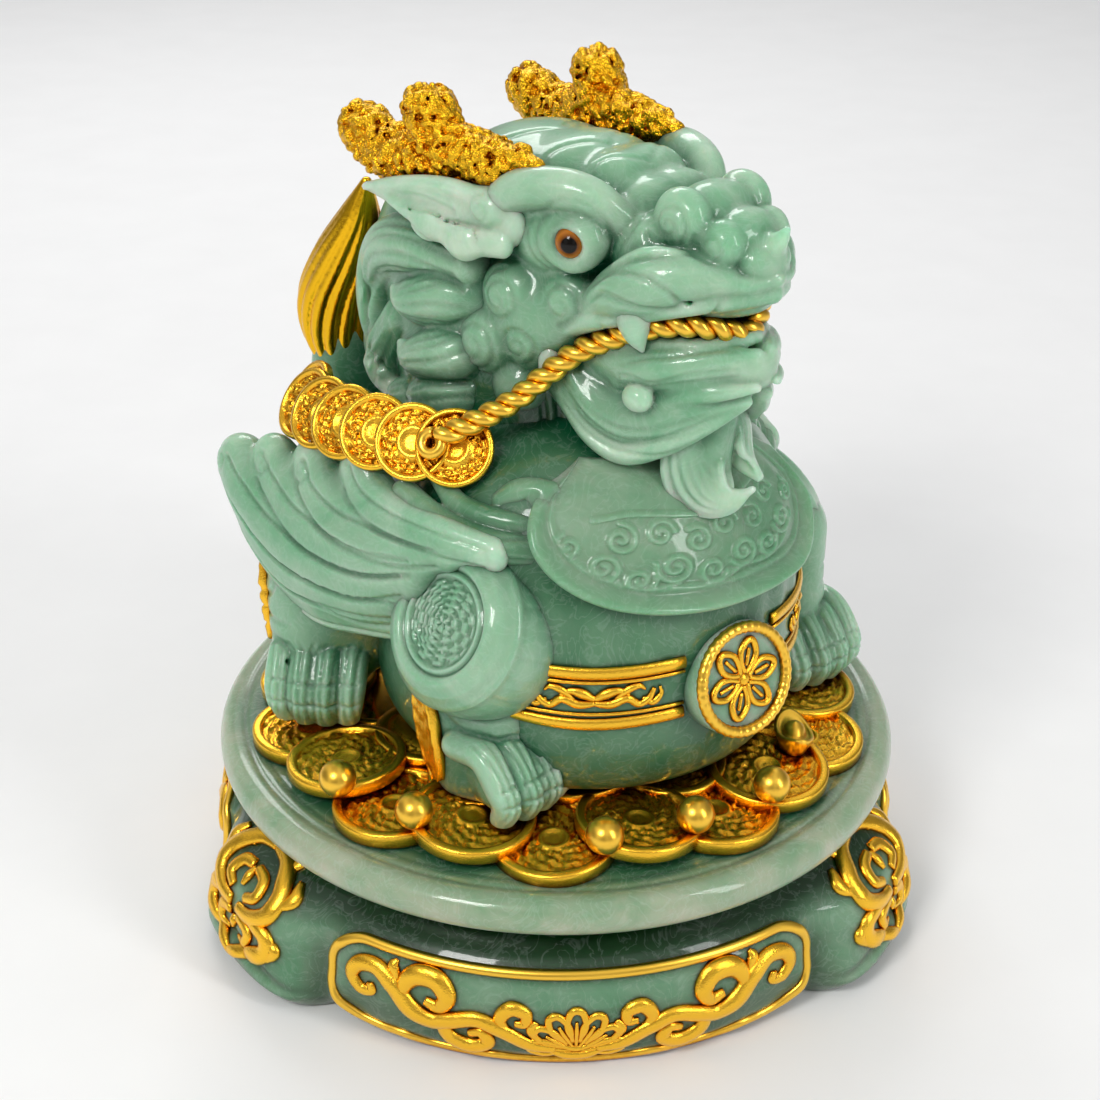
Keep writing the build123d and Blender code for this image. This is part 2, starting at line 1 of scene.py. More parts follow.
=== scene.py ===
"""Looks of the jade figurine: every casting is carved here as a distance field or drawn as a surface,
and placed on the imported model, which stays the fixed frame. Lengths are in mm until a mesh is made.
The beast is carved in its own frame, x forward, y to its left and z up, and turned by the eyes' line."""

import json
import math

import bmesh
import bpy
import numpy as np
from mathutils import Euler, Matrix, Vector

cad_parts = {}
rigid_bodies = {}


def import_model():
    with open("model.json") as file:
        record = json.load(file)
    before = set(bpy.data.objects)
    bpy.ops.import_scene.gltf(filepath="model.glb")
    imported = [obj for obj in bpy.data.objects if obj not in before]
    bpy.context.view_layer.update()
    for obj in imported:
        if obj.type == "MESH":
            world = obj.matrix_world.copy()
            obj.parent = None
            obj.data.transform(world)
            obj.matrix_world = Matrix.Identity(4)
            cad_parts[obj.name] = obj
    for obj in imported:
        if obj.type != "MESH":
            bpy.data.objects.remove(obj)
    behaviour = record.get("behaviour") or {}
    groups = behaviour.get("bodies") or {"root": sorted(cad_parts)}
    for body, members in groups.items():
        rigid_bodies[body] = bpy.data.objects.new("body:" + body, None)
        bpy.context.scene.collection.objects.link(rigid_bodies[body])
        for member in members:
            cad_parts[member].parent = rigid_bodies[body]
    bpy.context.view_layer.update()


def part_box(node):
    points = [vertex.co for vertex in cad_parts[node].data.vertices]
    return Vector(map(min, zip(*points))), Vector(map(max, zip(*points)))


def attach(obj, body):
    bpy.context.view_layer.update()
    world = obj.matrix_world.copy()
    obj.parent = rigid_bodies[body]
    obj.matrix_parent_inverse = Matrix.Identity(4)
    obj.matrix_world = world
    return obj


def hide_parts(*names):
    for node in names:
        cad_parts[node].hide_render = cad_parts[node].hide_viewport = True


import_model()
MM = 0.001
FAR = 50.0  # value of a clay grid where nothing has been put yet
SIDES = (("right", 1), ("left", -1))


# ---- measures read from the frame ----
def box_mm(node):
    """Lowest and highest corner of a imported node, in mm."""
    low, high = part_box(node)
    return np.array(low) / MM, np.array(high) / MM


def centre_mm(node):
    """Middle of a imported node's box, in mm."""
    low, high = box_mm(node)
    return (low + high) / 2


PLATE_LOW, PLATE_HIGH = box_mm("turning_plate")
PLATE_RADIUS = float(PLATE_HIGH[0])
PLATE_TOP = float(PLATE_HIGH[2])
PLATE_BOTTOM = float(PLATE_LOW[2])
STAND_TOP = float(box_mm("stand_shell")[1][2])
SEAT = float(box_mm("coin_bed")[1][2])
EYE_LINE = centre_mm("eye_left") - centre_mm("eye_right")
HEADING = math.atan2(EYE_LINE[1], EYE_LINE[0]) - math.pi / 2
COIN_COUNT = 20


def unit(vectors):
    """Vectors brought to length 1."""
    return vectors / np.linalg.norm(vectors, axis=-1, keepdims=True)


# ---- carving kit: distance fields on a grid ----
def blend_min(a, b, soft):
    """Smaller of two distances, with a rounded inner corner of the given softness."""
    if soft <= 0:
        return np.minimum(a, b)
    mix = np.clip(0.5 + 0.5 * (b - a) / soft, 0, 1)
    return b + (a - b) * mix - soft * mix * (1 - mix)


def smooth_path(points, per_span=8):
    """Catmull-Rom curve through rows of numbers; every column is eased alike."""
    rows = np.array(points, float)
    rows = np.vstack([2 * rows[0] - rows[1], rows, 2 * rows[-1] - rows[-2]])
    t = np.linspace(0, 1, per_span, endpoint=False)[:, None]
    out = []
    for a, b, c, d in zip(rows[:-3], rows[1:-2], rows[2:-1], rows[3:]):
        out.append(0.5 * (2 * b + (c - a) * t + (2 * a - 5 * b + 4 * c - d) * t ** 2
                          + (3 * b - 3 * c + d - a) * t ** 3))
    return np.vstack(out + [rows[-2:-1]])


CORNERS = [(i, j, k) for i in (0, 1) for j in (0, 1) for k in (0, 1)]


class Clay:
    """Lump of clay on a regular grid: shapes are added, cut and then meshed."""

    def __init__(self, low, high, step):
        self.step = step
        self.low = np.array(low, float) - 3 * step
        count = np.ceil((np.array(high, float) + 3 * step - self.low) / step).astype(int) + 1
        self.axes = [self.low[i] + step * np.arange(count[i]) for i in range(3)]
        self.value = np.full(count, FAR, np.float32)

    def window(self, low, high):
        """Slices and coordinates of the part of the grid inside a box."""
        slices, grids = [], []
        for i in range(3):
            first = max(0, int((low[i] - self.low[i]) / self.step))
            last = min(len(self.axes[i]), int((high[i] - self.low[i]) / self.step) + 2)
            slices.append(slice(first, max(first, last)))
            shape = [1, 1, 1]
            shape[i] = -1
            grids.append(self.axes[i][slices[i]].astype(np.float32).reshape(shape))
        return tuple(slices), grids

    def put(self, shape, soft=1.0, cut=False):
        """Add or cut a shape, which is (low corner, high corner, distance function)."""
        low, high, distance = shape
        margin = soft + 2.5 * self.step
        slices, grids = self.window(np.array(low) - margin, np.array(high) + margin)
        old = self.value[slices]
        if old.size == 0:
            return
        new = np.broadcast_to(distance(*grids), old.shape).astype(np.float32)
        if cut:
            self.value[slices] = -blend_min(-old, new, soft)
        else:
            self.value[slices] = blend_min(old, new, soft)

    def trim(self, distance, soft=0.4):
        """Keep only what is inside a distance function of the whole grid."""
        _, grids = self.window(self.low, [a[-1] for a in self.axes])
        new = np.broadcast_to(distance(*grids), self.value.shape)
        self.value = -blend_min(-self.value, -new.astype(np.float32), soft)

    def mesh(self):
        """Closed quad mesh of the surface, one corner in every cell that the surface crosses."""
        value = self.value
        inside = value < 0
        size = [n - 1 for n in value.shape]
        stack = [inside[i:i + size[0], j:j + size[1], k:k + size[2]] for i, j, k in CORNERS]
        total = np.sum(stack, axis=0, dtype=np.int8)
        cells = np.argwhere((total > 0) & (total < 8))
        at = [value[cells[:, 0] + i, cells[:, 1] + j, cells[:, 2] + k] for i, j, k in CORNERS]
        place = np.zeros((len(cells), 3))
        hits = np.zeros(len(cells))
        for a in range(8):
            for b in range(a + 1, 8):
                offset = np.array(CORNERS[b]) - np.array(CORNERS[a])
                if np.abs(offset).sum() != 1:
                    continue
                crossed = (at[a] < 0) != (at[b] < 0)
                part = np.where(crossed, at[a] / np.where(crossed, at[a] - at[b], 1), 0)
                point = np.array(CORNERS[a]) + part[:, None] * offset
                place += np.where(crossed[:, None], point, 0)
                hits += crossed
        verts = self.low + (cells + place / hits[:, None]) * self.step
        index = np.full(size, -1, np.int64)
        index[tuple(cells.T)] = np.arange(len(cells))
        faces = []
        for axis in range(3):
            u, v = (axis + 1) % 3, (axis + 2) % 3
            near = [slice(1, -1)] * 3
            near[axis] = slice(0, -1)
            far = list(near)
            far[axis] = slice(1, None)
            first, second = inside[tuple(near)], inside[tuple(far)]
            edges = np.argwhere(first != second)
            leaving = first[tuple(edges.T)]
            edges = edges + 1
            edges[:, axis] -= 1
            du, dv = np.zeros(3, int), np.zeros(3, int)
            du[u], dv[v] = 1, 1
            ring = [edges - du - dv, edges - dv, edges, edges - du]
            quad = np.stack([index[tuple(r.T)] for r in ring], 1)
            faces.append(np.where(leaving[:, None], quad, quad[:, ::-1]))
        return verts, np.vstack(faces)


def ball(centre, half):
    """Ellipsoid; half is a radius or three half axes."""
    centre = np.array(centre, float)
    half = np.full(3, half, float) if np.isscalar(half) else np.array(half, float)

    def distance(x, y, z):
        p = [x - centre[0], y - centre[1], z - centre[2]]
        k0 = np.sqrt(sum((c / h) ** 2 for c, h in zip(p, half)))
        k1 = np.sqrt(sum((c / h ** 2) ** 2 for c, h in zip(p, half))) + 1e-6
        return k0 * (k0 - 1) / k1
    return centre - half, centre + half, distance


def strand(points, per_span=6, flat=None):
    """Round strand through rows of (x, y, z, radius); flat = (direction, factor) squashes it."""
    rows = smooth_path(points, per_span)
    low = (rows[:, :3] - rows[:, 3:]).min(0)
    high = (rows[:, :3] + rows[:, 3:]).max(0)
    squash = None
    if flat is not None:
        way = np.array(flat[0], float)
        squash = unit(way), 1 / flat[1] - 1

    def distance(x, y, z):
        best = None
        for a, b in zip(rows[:-1], rows[1:]):
            run = b[:3] - a[:3]
            length = max(run @ run, 1e-9)
            px, py, pz = x - a[0], y - a[1], z - a[2]
            t = np.clip((px * run[0] + py * run[1] + pz * run[2]) / length, 0, 1)
            dx, dy, dz = px - t * run[0], py - t * run[1], pz - t * run[2]
            far = dx * dx + dy * dy + dz * dz
            if squash is not None:
                way, more = squash
                along = dx * way[0] + dy * way[1] + dz * way[2]
                far = far + (more * more + 2 * more) * along * along
            gap = np.sqrt(far) - (a[3] + t * (b[3] - a[3]))
            best = gap if best is None else np.minimum(best, gap)
        return best
    return low, high, distance


def both(points):
    """A route on the beast's right side and its mirror on the left."""
    rows = np.array(points, float)
    left = rows.copy()
    left[..., 1] *= -1
    return rows, left


def hoop(centre, normal, radius, thick, start=0.0, sweep=360.0, count=24):
    """Route of an arc about a centre, as strand rows; the arc starts at the highest point."""
    normal = unit(np.array(normal, float))
    up = unit(np.array((0, 0, 1.0)) - normal[2] * normal)
    side = np.cross(normal, up)
    angles = np.radians(start + np.linspace(0, sweep, count))
    points = np.array(centre) + radius * (np.cos(angles)[:, None] * up + np.sin(angles)[:, None] * side)
    return np.hstack([points, np.full((count, 1), thick)])


# ---- meshes ----
def turned(verts):
    """From the beast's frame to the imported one."""
    c, s = math.cos(HEADING), math.sin(HEADING)
    return np.stack([verts[:, 0] * c - verts[:, 1] * s, verts[:, 0] * s + verts[:, 1] * c, verts[:, 2]], 1)


def ring_faces(rows, columns, inward=False):
    """Quads between rings of points that follow each other."""
    index = np.arange(rows * columns).reshape(rows, columns)
    after = np.roll(index, -1, 1)
    corners = [index[:-1], after[:-1], after[1:], index[1:]]
    if inward:
        corners = [index[:-1], index[1:], after[1:], after[:-1]]
    return np.stack(corners, -1).reshape(-1, 4)


def mirrored(part, flip, shift=(0, 0, 0)):
    """A pair of verts and faces as it is for flip 1, or seen in the beast's middle plane for flip -1."""
    verts, faces = part
    return verts * (1, flip, 1) + np.array(shift), faces[:, ::flip]


def add_mesh(name, node, part, material, body="beast"):
    """Smooth piece that replaces a node; the beast's own pieces are turned and ride on the turntable."""
    verts, faces = part
    if body == "beast":
        verts, body = turned(verts), "turntable"
    mesh = bpy.data.meshes.new(name)
    mesh.vertices.add(len(verts))
    mesh.vertices.foreach_set("co", (verts * MM).astype(np.float32).ravel())
    mesh.loops.add(faces.size)
    mesh.loops.foreach_set("vertex_index", faces.astype(np.int32).ravel())
    mesh.polygons.add(len(faces))
    mesh.polygons.foreach_set("loop_start", np.arange(0, faces.size, faces.shape[1], dtype=np.int32))
    mesh.update(calc_edges=True)
    mesh.validate()
    mesh.shade_smooth()
    piece = bpy.data.objects.new(name, mesh)
    bpy.context.collection.objects.link(piece)
    piece.data.materials.append(material)
    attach(piece, body)
    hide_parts(node)
    return piece


def add_pair(name, part, material):
    """The beast's right piece and its mirror image on the left; the name has a star where the side goes."""
    for side, flip in SIDES:
        node = name.rsplit("_", 1)[0].replace("*", side)
        add_mesh(name.replace("*", side), node, mirrored(part, flip), material)


def join(parts):
    """Several (verts, faces) pairs as one; all faces have as many corners."""
    starts = np.cumsum([0] + [len(verts) for verts, _ in parts])
    return np.vstack([verts for verts, _ in parts]), np.vstack([faces + base for (_, faces),
                                                                base in zip(parts, starts)])


def lathe(profile, count=192):
    """Surface of revolution about Z from rows of (radius, z)."""
    profile = np.array(profile, float)
    angles = np.linspace(0, 2 * math.pi, count, endpoint=False)
    radius, level = profile[:, :1], profile[:, 1:]
    x, y = radius * np.cos(angles), radius * np.sin(angles)
    verts = np.stack([x, y, np.broadcast_to(level, x.shape)], -1).reshape(-1, 3)
    return verts, ring_faces(len(profile), count)


def tube(points, radii, sides=12, flat=None, closed=False):
    """Tube mesh along a polyline; flat = (normals, factor) squashes it along given normals."""
    p = np.asarray(points, float)
    n = len(p)
    radii = np.broadcast_to(np.asarray(radii, float), n)
    ahead = np.roll(p, -1, 0) if closed else np.vstack([p[1:], 2 * p[-1:] - p[-2:-1]])
    behind = np.roll(p, 1, 0) if closed else np.vstack([2 * p[:1] - p[1:2], p[:-1]])
    way = ahead - behind
    way = unit(way)
    if flat is None:
        up = np.zeros((n, 3))
        seed = np.array((0, 0, 1.0)) if abs(way[0, 2]) < 0.9 else np.array((1.0, 0, 0))
        for i in range(n):
            seed = seed - (seed @ way[i]) * way[i]
            seed = unit(seed)
            up[i] = seed
        factor = 1.0
    else:
        up = np.asarray(flat[0], float)
        up = up - (up * way).sum(1, keepdims=True) * way
        up = unit(up)
        factor = flat[1]
    side = np.cross(way, up)
    angle = np.linspace(0, 2 * math.pi, sides, endpoint=False)
    c, s = np.cos(angle)[None, :, None], np.sin(angle)[None, :, None]
    ring = c * up[:, None] * factor + s * side[:, None]
    verts = (p[:, None] + ring * radii[:, None, None]).reshape(-1, 3)
    if closed:
        return verts, ring_faces(n + 1, sides, inward=True) % (n * sides)
    even = 2 * np.arange(sides // 2)
    after = (even + 2) % sides
    base = (n - 1) * sides
    near = np.stack([np.full(len(even), n * sides), even, even + 1, after], 1)
    end = np.stack([np.full(len(even), n * sides + 1), base + after, base + even + 1, base + even], 1)
    return np.vstack([verts, p[:1], p[-1:]]), np.vstack([ring_faces(n, sides, inward=True), near, end])


# ---- materials ----
# reach of the painted shade in the jade's hollows
HOLLOW_SHADE_REACH = 0.030
# reach of the painted glow where the jade is thin
THIN_GLOW_REACH = 0.007
# reach of the painted shade in the gilt's recesses
GILT_SHADE_REACH = 0.0035


def link_value(tree, socket, value):
    """Feed an input from another node's output, or set it; a colour has three numbers."""
    if isinstance(value, bpy.types.NodeSocket):
        tree.links.new(value, socket)
    elif socket.type == "RGBA":
        socket.default_value = (*value, 1)
    else:
        socket.default_value = value


def add_node(tree, kind, **values):
    """Shader node; keyword names are its properties or, with _ for blanks, its inputs."""
    node = tree.nodes.new(kind)
    for key, value in values.items():
        if hasattr(node, key) and key not in node.inputs:
            setattr(node, key, value)
        else:
            link_value(tree, node.inputs[key.replace("_", " ")], value)
    return node


def set_inputs(tree, node, **values):
    """Set or feed a node's inputs; their names are written with _ for blanks."""
    for key, value in values.items():
        link_value(tree, node.inputs[key.replace("_", " ")], value)


def figure(tree, operation, *values):
    """Result of a sum on numbers or on other nodes' outputs."""
    node = add_node(tree, "ShaderNodeMath", operation=operation)
    for socket, value in zip(node.inputs, values):
        link_value(tree, socket, value)
    return node.outputs[0]


def ramp(tree, factor, stops):
    """Colour that changes along a factor; stops are (place, colour)."""
    node = add_node(tree, "ShaderNodeValToRGB", Fac=factor)
    band = node.color_ramp
    for place, _ in stops[1:-1]:
        band.elements.new(place)
    for element, (place, color) in zip(band.elements, stops):
        element.position, element.color = place, (*color, 1)
    return node.outputs["Color"]


def grey(value):
    """Colour with three equal parts."""
    return (value, value, value)


def scaled(color, factors):
    """Colour with each part multiplied."""
    return tuple(part * factor for part, factor in zip(color, factors))


def mix_color(tree, factor, first, second, blend="MIX"):
    """Colour between two colours."""
    node = add_node(tree, "ShaderNodeMix", data_type="RGBA", blend_type=blend)
    for index, value in ((0, factor), (6, first), (7, second)):
        link_value(tree, node.inputs[index], value)
    return node.outputs[2]


def start_material(name):
    """New node material: itself, its tree, its shader and the object's own coordinates."""
    material = bpy.data.materials.new(name)
    material.use_nodes = True
    tree = material.node_tree
    place = tree.nodes.new("ShaderNodeTexCoord").outputs["Object"]
    return material, tree, tree.nodes["Principled BSDF"], place


def noise(tree, place, scale, detail=4.0, roughness=0.55, distortion=0.0):
    """Soft random pattern from 0 to 1."""
    node = add_node(tree, "ShaderNodeTexNoise", Vector=place, Scale=scale, Detail=detail,
                    Roughness=roughness, Distortion=distortion)
    return node.outputs["Fac"]


def add_grain(tree, shader, grain, strength, depth):
    """Fine bumps in a shader's surface."""
    bump = add_node(tree, "ShaderNodeBump", Strength=strength, Distance=depth, Height=grain)
    set_inputs(tree, shader, Normal=bump.outputs["Normal"])


def jade(name, pale, deep, murk, painted_shadow_levels=None):
    """Polished translucent stone with clouds and faint veins; painted shade turns it deep green in hollows,
    a painted glow makes it pale and milky where it is thin, and, when levels are given, painted shadow
    darkens it from the first level upwards.
    """
    material, tree, shader, place = start_material(name)
    # painted shade: ambient occlusion blends the stone from its pale colour to deep green in hollows and
    # between parts
    hollow = add_node(tree, "ShaderNodeAmbientOcclusion", samples=8, Distance=HOLLOW_SHADE_REACH).outputs["AO"]
    middle = tuple(0.60 * a + 0.40 * b for a, b in zip(deep, pale))
    body = ramp(tree, hollow, [(0.32, deep), (0.70, middle), (1.0, pale)])
    # painted glow: where the stone is thin, its colour is mixed towards a milky tint brighter than its pale
    # colour, standing in for light shining through
    thick = add_node(tree, "ShaderNodeAmbientOcclusion", samples=8, inside=True, only_local=True,
                     Distance=THIN_GLOW_REACH).outputs["AO"]
    thin = ramp(tree, thick, [(0.35, grey(0.85)), (0.95, grey(0))])
    painted_glow = tuple(min(1.0, part) for part in scaled(pale, (2.0, 1.5, 1.75)))
    body = mix_color(tree, thin, body, painted_glow)
    # painted shadow: from the first level up to the second the stone is blended into its deep colour, and
    # fully so above, as shade under the plate's overhang
    if painted_shadow_levels is not None:
        level = add_node(tree, "ShaderNodeSeparateXYZ", Vector=place).outputs["Z"]
        shade = add_node(tree, "ShaderNodeMapRange", Value=level)
        set_inputs(tree, shade, From_Min=painted_shadow_levels[0] * MM, From_Max=painted_shadow_levels[1] * MM)
        body = mix_color(tree, shade.outputs["Result"], body, deep)
    cloud = noise(tree, place, 55.0, 5.0, 0.6, 0.8)
    cloudy = ramp(tree, cloud, [(0.34, (0.62, 0.84, 0.74)), (0.68, (1.15, 1.06, 1.12))])
    color = mix_color(tree, 1.0, body, cloudy, "MULTIPLY")
    vein = noise(tree, place, 140.0, 3.0, 0.5, 2.5)
    line = ramp(tree, vein, [(0.46, grey(0)), (0.50, grey(1)), (0.54, grey(0))])
    color = mix_color(tree, figure(tree, "MULTIPLY", line, murk * 0.35), color, (0.78, 0.90, 0.84))
    set_inputs(tree, shader, Base_Color=color, Roughness=0.34, IOR=1.4, Specular_IOR_Level=0.35,
               Subsurface_Weight=0.8, Subsurface_Radius=(0.35, 1.0, 0.65), Subsurface_Scale=0.006,
               Coat_Weight=0.5, Coat_Roughness=0.05)
    add_grain(tree, shader, noise(tree, place, 900.0, 2.0), 0.12, 0.0004)
    return material


def gold(name, grain_scale, grain_depth, grain_strength, rough, bright):
    """Gilt paint: bright yellow metal on what stands out, painted shade turning it brown in the recesses,
    and a random grain in its tone.
    """
    material, tree, shader, place = start_material(name)
    # painted shade: ambient occlusion, plus a random grain in tone, picks brown in recesses, amber between
    # and bright gold on what stands out
    hollow = add_node(tree, "ShaderNodeAmbientOcclusion", samples=6, Distance=GILT_SHADE_REACH).outputs["AO"]
    grain = noise(tree, place, grain_scale, 3.0, 0.6)
    shade = figure(tree, "MULTIPLY_ADD", grain, 0.5, hollow)
    brown = scaled(bright, (0.24, 0.10, 0.05))
    amber_tone = scaled(bright, (0.78, 0.55, 0.25))
    color = ramp(tree, shade, [(0.46, brown), (0.78, amber_tone), (1.0, bright)])
    set_inputs(tree, shader, Base_Color=color, Metallic=1.0, Roughness=rough)
    add_grain(tree, shader, grain, grain_strength, grain_depth)
    return material


def plain(name, color, metallic, rough, grain_scale, grain_amount, grain_depth=0.0002):
    """Even material with a fine grain in its colour and surface."""
    material, tree, shader, place = start_material(name)
    grain = noise(tree, place, grain_scale, 4.0)
    tone = ramp(tree, grain, [(0.3, tuple(part * (1 - grain_amount) for part in color)), (0.7, color)])
    set_inputs(tree, shader, Base_Color=tone, Metallic=metallic, Roughness=rough)
    add_grain(tree, shader, grain, 0.3, grain_depth)
    return material


def amber(name, pupil_centres):
    """Amber cabochon with a black pupil round each given centre (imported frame, metres)."""
    material, tree, shader, place = start_material(name)
    gaps = []
    for centre in pupil_centres:
        gap = add_node(tree, "ShaderNodeVectorMath", operation="DISTANCE")
        link_value(tree, gap.inputs[0], place)
        link_value(tree, gap.inputs[1], tuple(centre))
        gaps.append(gap.outputs["Value"])
    nearest = figure(tree, "MINIMUM", *gaps)
    color = ramp(tree, figure(tree, "MULTIPLY", nearest, 200.0), [
        (0.31, (0.004, 0.003, 0.002)), (0.37, (0.16, 0.05, 0.008)),
        (0.58, (0.45, 0.15, 0.012)), (0.80, (0.16, 0.045, 0.006))])
    set_inputs(tree, shader, Base_Color=color, Roughness=0.10, Specular_IOR_Level=0.2, Coat_Weight=0.1,
               Coat_Roughness=0.03)
    return material


JADE = jade("jade_pale", (0.27, 0.46, 0.30), (0.0, 0.100, 0.038), 0.18)
JADE_BODY = jade("jade_body", (0.118, 0.255, 0.140), (0.0, 0.070, 0.026), 0.18)
# the stand's stone carries painted shadow under the plate's overhang, from 21.5 mm up and full from 28.5 mm
JADE_DARK = jade("jade_stand", (0.19, 0.34, 0.21), (0.0, 0.030, 0.002), 0.18, (21.5, 28.5))
JADE_GREY = jade("jade_plate", (0.29, 0.37, 0.245), (0.02, 0.11, 0.05), 0.25)
GOLD = gold("gold_relief", 2200.0, 0.00025, 0.35, 0.27, (1.0, 0.57, 0.045))
GOLD_SMOOTH = gold("gold_polished", 900.0, 0.0001, 0.15, 0.30, (1.0, 0.60, 0.07))
GOLD_DEEP = gold("gold_tail", 900.0, 0.0003, 0.3, 0.26, (0.90, 0.50, 0.015))
GOLD_ROUGH = gold("gold_grained", 700.0, 0.0012, 1.0, 0.24, (0.90, 0.50, 0.02))
STEEL = plain("zinc_steel", (0.55, 0.55, 0.56), 1.0, 0.35, 900.0, 0.25)
NYLON = plain("nylon", (0.80, 0.80, 0.77), 0.0, 0.5, 300.0, 0.1)
BOARD = plain("fibreboard", (0.10, 0.07, 0.05), 0.0, 0.85, 700.0, 0.5)
FELT = plain("felt", (0.02, 0.09, 0.05), 0.0, 0.95, 2500.0, 0.6, 0.0006)


# ---- stand ----
STAND_LEVELS = [0.0, 5.0, 12.0, 18.0, 23.0, 27.0, 30.0, 32.2, STAND_TOP]
STAND_RADII = [75.5, 78.4, 79.6, 79.4, 78.2, 75.6, 72.0, 68.5, 65.0]
PANEL_TURN = 120.0
PANEL_CENTRE = centre_mm("panel_scrollwork_1")
STAND_TURN = math.degrees(math.atan2(PANEL_CENTRE[0], -PANEL_CENTRE[1]))
PANEL_HALF = 40.3


def ease(value, low, high):
    """Smooth step from 0 at low to 1 at high."""
    t = np.clip((value - low) / (high - low), 0, 1)
    return t * t * (3 - 2 * t)


def off_panel(angle):
    """Degrees from the middle of the nearest panel, -60 to 60; angles count from -Y towards +X."""
    return (angle - STAND_TURN + 60) % PANEL_TURN - 60


def apron_level(off):
    """Height of the stand's scalloped lower edge."""
    off = np.abs(off)
    scallop = 1.3 * np.exp(-((off - 13.0) / 3.2) ** 2) + 1.5 * np.exp(-((off - 27.5) / 3.2) ** 2)
    rise = scallop + 3.2 * ease(off, 24, 38)
    return rise * (1 - ease(off, 40.5, 44)) + 0.3


def stand_radius(angle, level):
    """Radius of the stand's wall: convex panels, cabriole feet and the hollows between them."""
    off = np.abs(off_panel(angle))
    wall = np.interp(level, STAND_LEVELS, STAND_RADII)
    beside = np.maximum(0, 60 - off)
    panel = 1.2 * (1 - ease(off, 38.5, 42)) * ease(level, 0, 4) * (1 - ease(level, 24, 29))
    hollow = -3.0 * np.exp(-((off - 42.5) / 2.4) ** 2) * (1 - ease(level, 8, 26))
    toe = 9.6 * np.exp(-(beside / 19.0) ** 6) * np.exp(-((level - 5.0) / 9.0) ** 2)
    knee = 6.0 * np.exp(-(beside / 14.0) ** 4) * np.exp(-((level - 20.5) / 8.5) ** 2)
    crease = -1.5 * np.exp(-((level - 10.5 + 0.28 * beside) / 1.5) ** 2) * np.exp(-(beside / 15.0) ** 4)
    return wall + panel + hollow + toe + knee + crease


def round_points(radius, angle, level):
    """Points at a radius and a level; angles count from -Y towards +X, in degrees."""
    a = np.radians(angle)
    return np.stack(np.broadcast_arrays(radius * np.sin(a), -radius * np.cos(a), level), -1)


def on_stand_raw(angle, level):
    """Points on the stand's wall."""
    return round_points(stand_radius(angle, level), angle, level)


def on_stand(angle, level, lift=0.0):
    """Points on the stand's wall, lifted off it, for arrays of angles and levels."""
    angle, level = np.broadcast_arrays(np.asarray(angle, float), np.asarray(level, float))
    return on_stand_raw(angle, level) + lift * stand_normal(angle, level)


def wall_normal(wall, angle, level, step):
    """Outward direction of a wall that is given as a function of angle and level."""
    around = wall(angle + step, level) - wall(angle - step, level)
    rise = wall(angle, level + step) - wall(angle, level - step)
    return unit(np.cross(around, rise))


def stand_normal(angle, level):
    """Outward direction of the stand's wall."""
    return wall_normal(on_stand_raw, angle, level, 0.4)


def make_stand_shell():
    """Wall, top with the bearing's pocket, and underside with the cover's recess, as one closed skin."""
    bearing_low, bearing_high = box_mm("bearing_lower_race")
    cover_high = box_mm("base_cover")[1]
    cover, roof = float(cover_high[0]) + 0.3, float(cover_high[2])
    hole = float(box_mm("pivot_rivet")[0][2]) - 0.4
    pocket = float(bearing_high[0]) + 0.4
    floor = float(bearing_low[2]) - 0.02
    angle = np.linspace(0, 360, 900, endpoint=False)
    edge = apron_level(off_panel(angle))
    top = [(0.0, hole), (6.4, hole), (6.5, floor), (pocket, floor), (pocket, STAND_TOP - 0.3),
           (pocket + 0.3, STAND_TOP), (60.0, STAND_TOP)]
    rows = [round_points(radius, angle, level) for radius, level in top]
    for part in np.linspace(1, 0, 72) ** 0.9:
        rows.append(on_stand_raw(angle, edge + (STAND_TOP - edge) * part))
    for shrink, drop in ((0.985, -0.12), (0.96, 0.1)):
        lower = on_stand_raw(angle, edge) * (shrink, shrink, 1)
        lower[:, 2] = np.maximum(0.0, edge + drop)
        rows.append(lower)
    rows += [round_points(radius, angle, level) for radius, level in
             ((cover + 1.0, 0.5), (cover, 0.9), (cover, roof), (0.0, roof))]
    faces = ring_faces(len(rows), len(angle), inward=True)
    weld(add_mesh("stand_shell_stone", "stand_shell", (np.vstack(rows), faces), JADE_DARK, "stand"))


def weld(piece):
    """Join corners that lie on each other, so that the ends of a lathe close."""
    work = bmesh.new()
    work.from_mesh(piece.data)
    bmesh.ops.remove_doubles(work, verts=work.verts, dist=1e-6)
    bmesh.ops.recalc_face_normals(work, faces=work.faces)
    work.to_mesh(piece.data)
    work.free()
    piece.data.shade_smooth()


def relief(route, middle, height):
    """Raised line that lies on a wall; route rows are (across mm, level, half width)."""
    rows = smooth_path(route, 7)
    angle = middle + np.degrees(rows[:, 0] / STAND_RADII[2])
    centre = on_stand(angle, rows[:, 1], 0.15)
    normal = stand_normal(angle, rows[:, 1])
    return tube(centre, rows[:, 2], 10, flat=(normal, height))


def panel_outline(count=180):
    """Rounded border of one panel as (degrees, level): straight above, scalloped below."""
    half, tall, corner = STAND_RADII[2] * math.radians(PANEL_HALF), 12.0, 9.0
    route = []
    for cx, cz, start in ((1, 1, 0), (-1, 1, 90), (-1, -1, 180), (1, -1, 270)):
        for a in np.radians(np.linspace(start, start + 90, 12)):
            route.append((cx * (half - corner) + corner * math.cos(a),
                          cz * (tall - corner) + corner * math.sin(a)))
    route = spaced(np.array(route), count)
    off = np.degrees(route[:, 0] / STAND_RADII[2])
    low = apron_level(off) + 1.2
    level = low + (route[:, 1] / tall + 1) / 2 * (25.0 - low)
    return off, level


def spaced(points, count):
    """Closed route cut into even steps."""
    ring = np.vstack([points, points[:1]])
    length = np.concatenate([[0], np.cumsum(np.linalg.norm(np.diff(ring, axis=0), axis=1))])
    even = np.linspace(0, length[-1], count, endpoint=False)
    return np.stack([np.interp(even, length, ring[:, i]) for i in range(ring.shape[1])], 1)


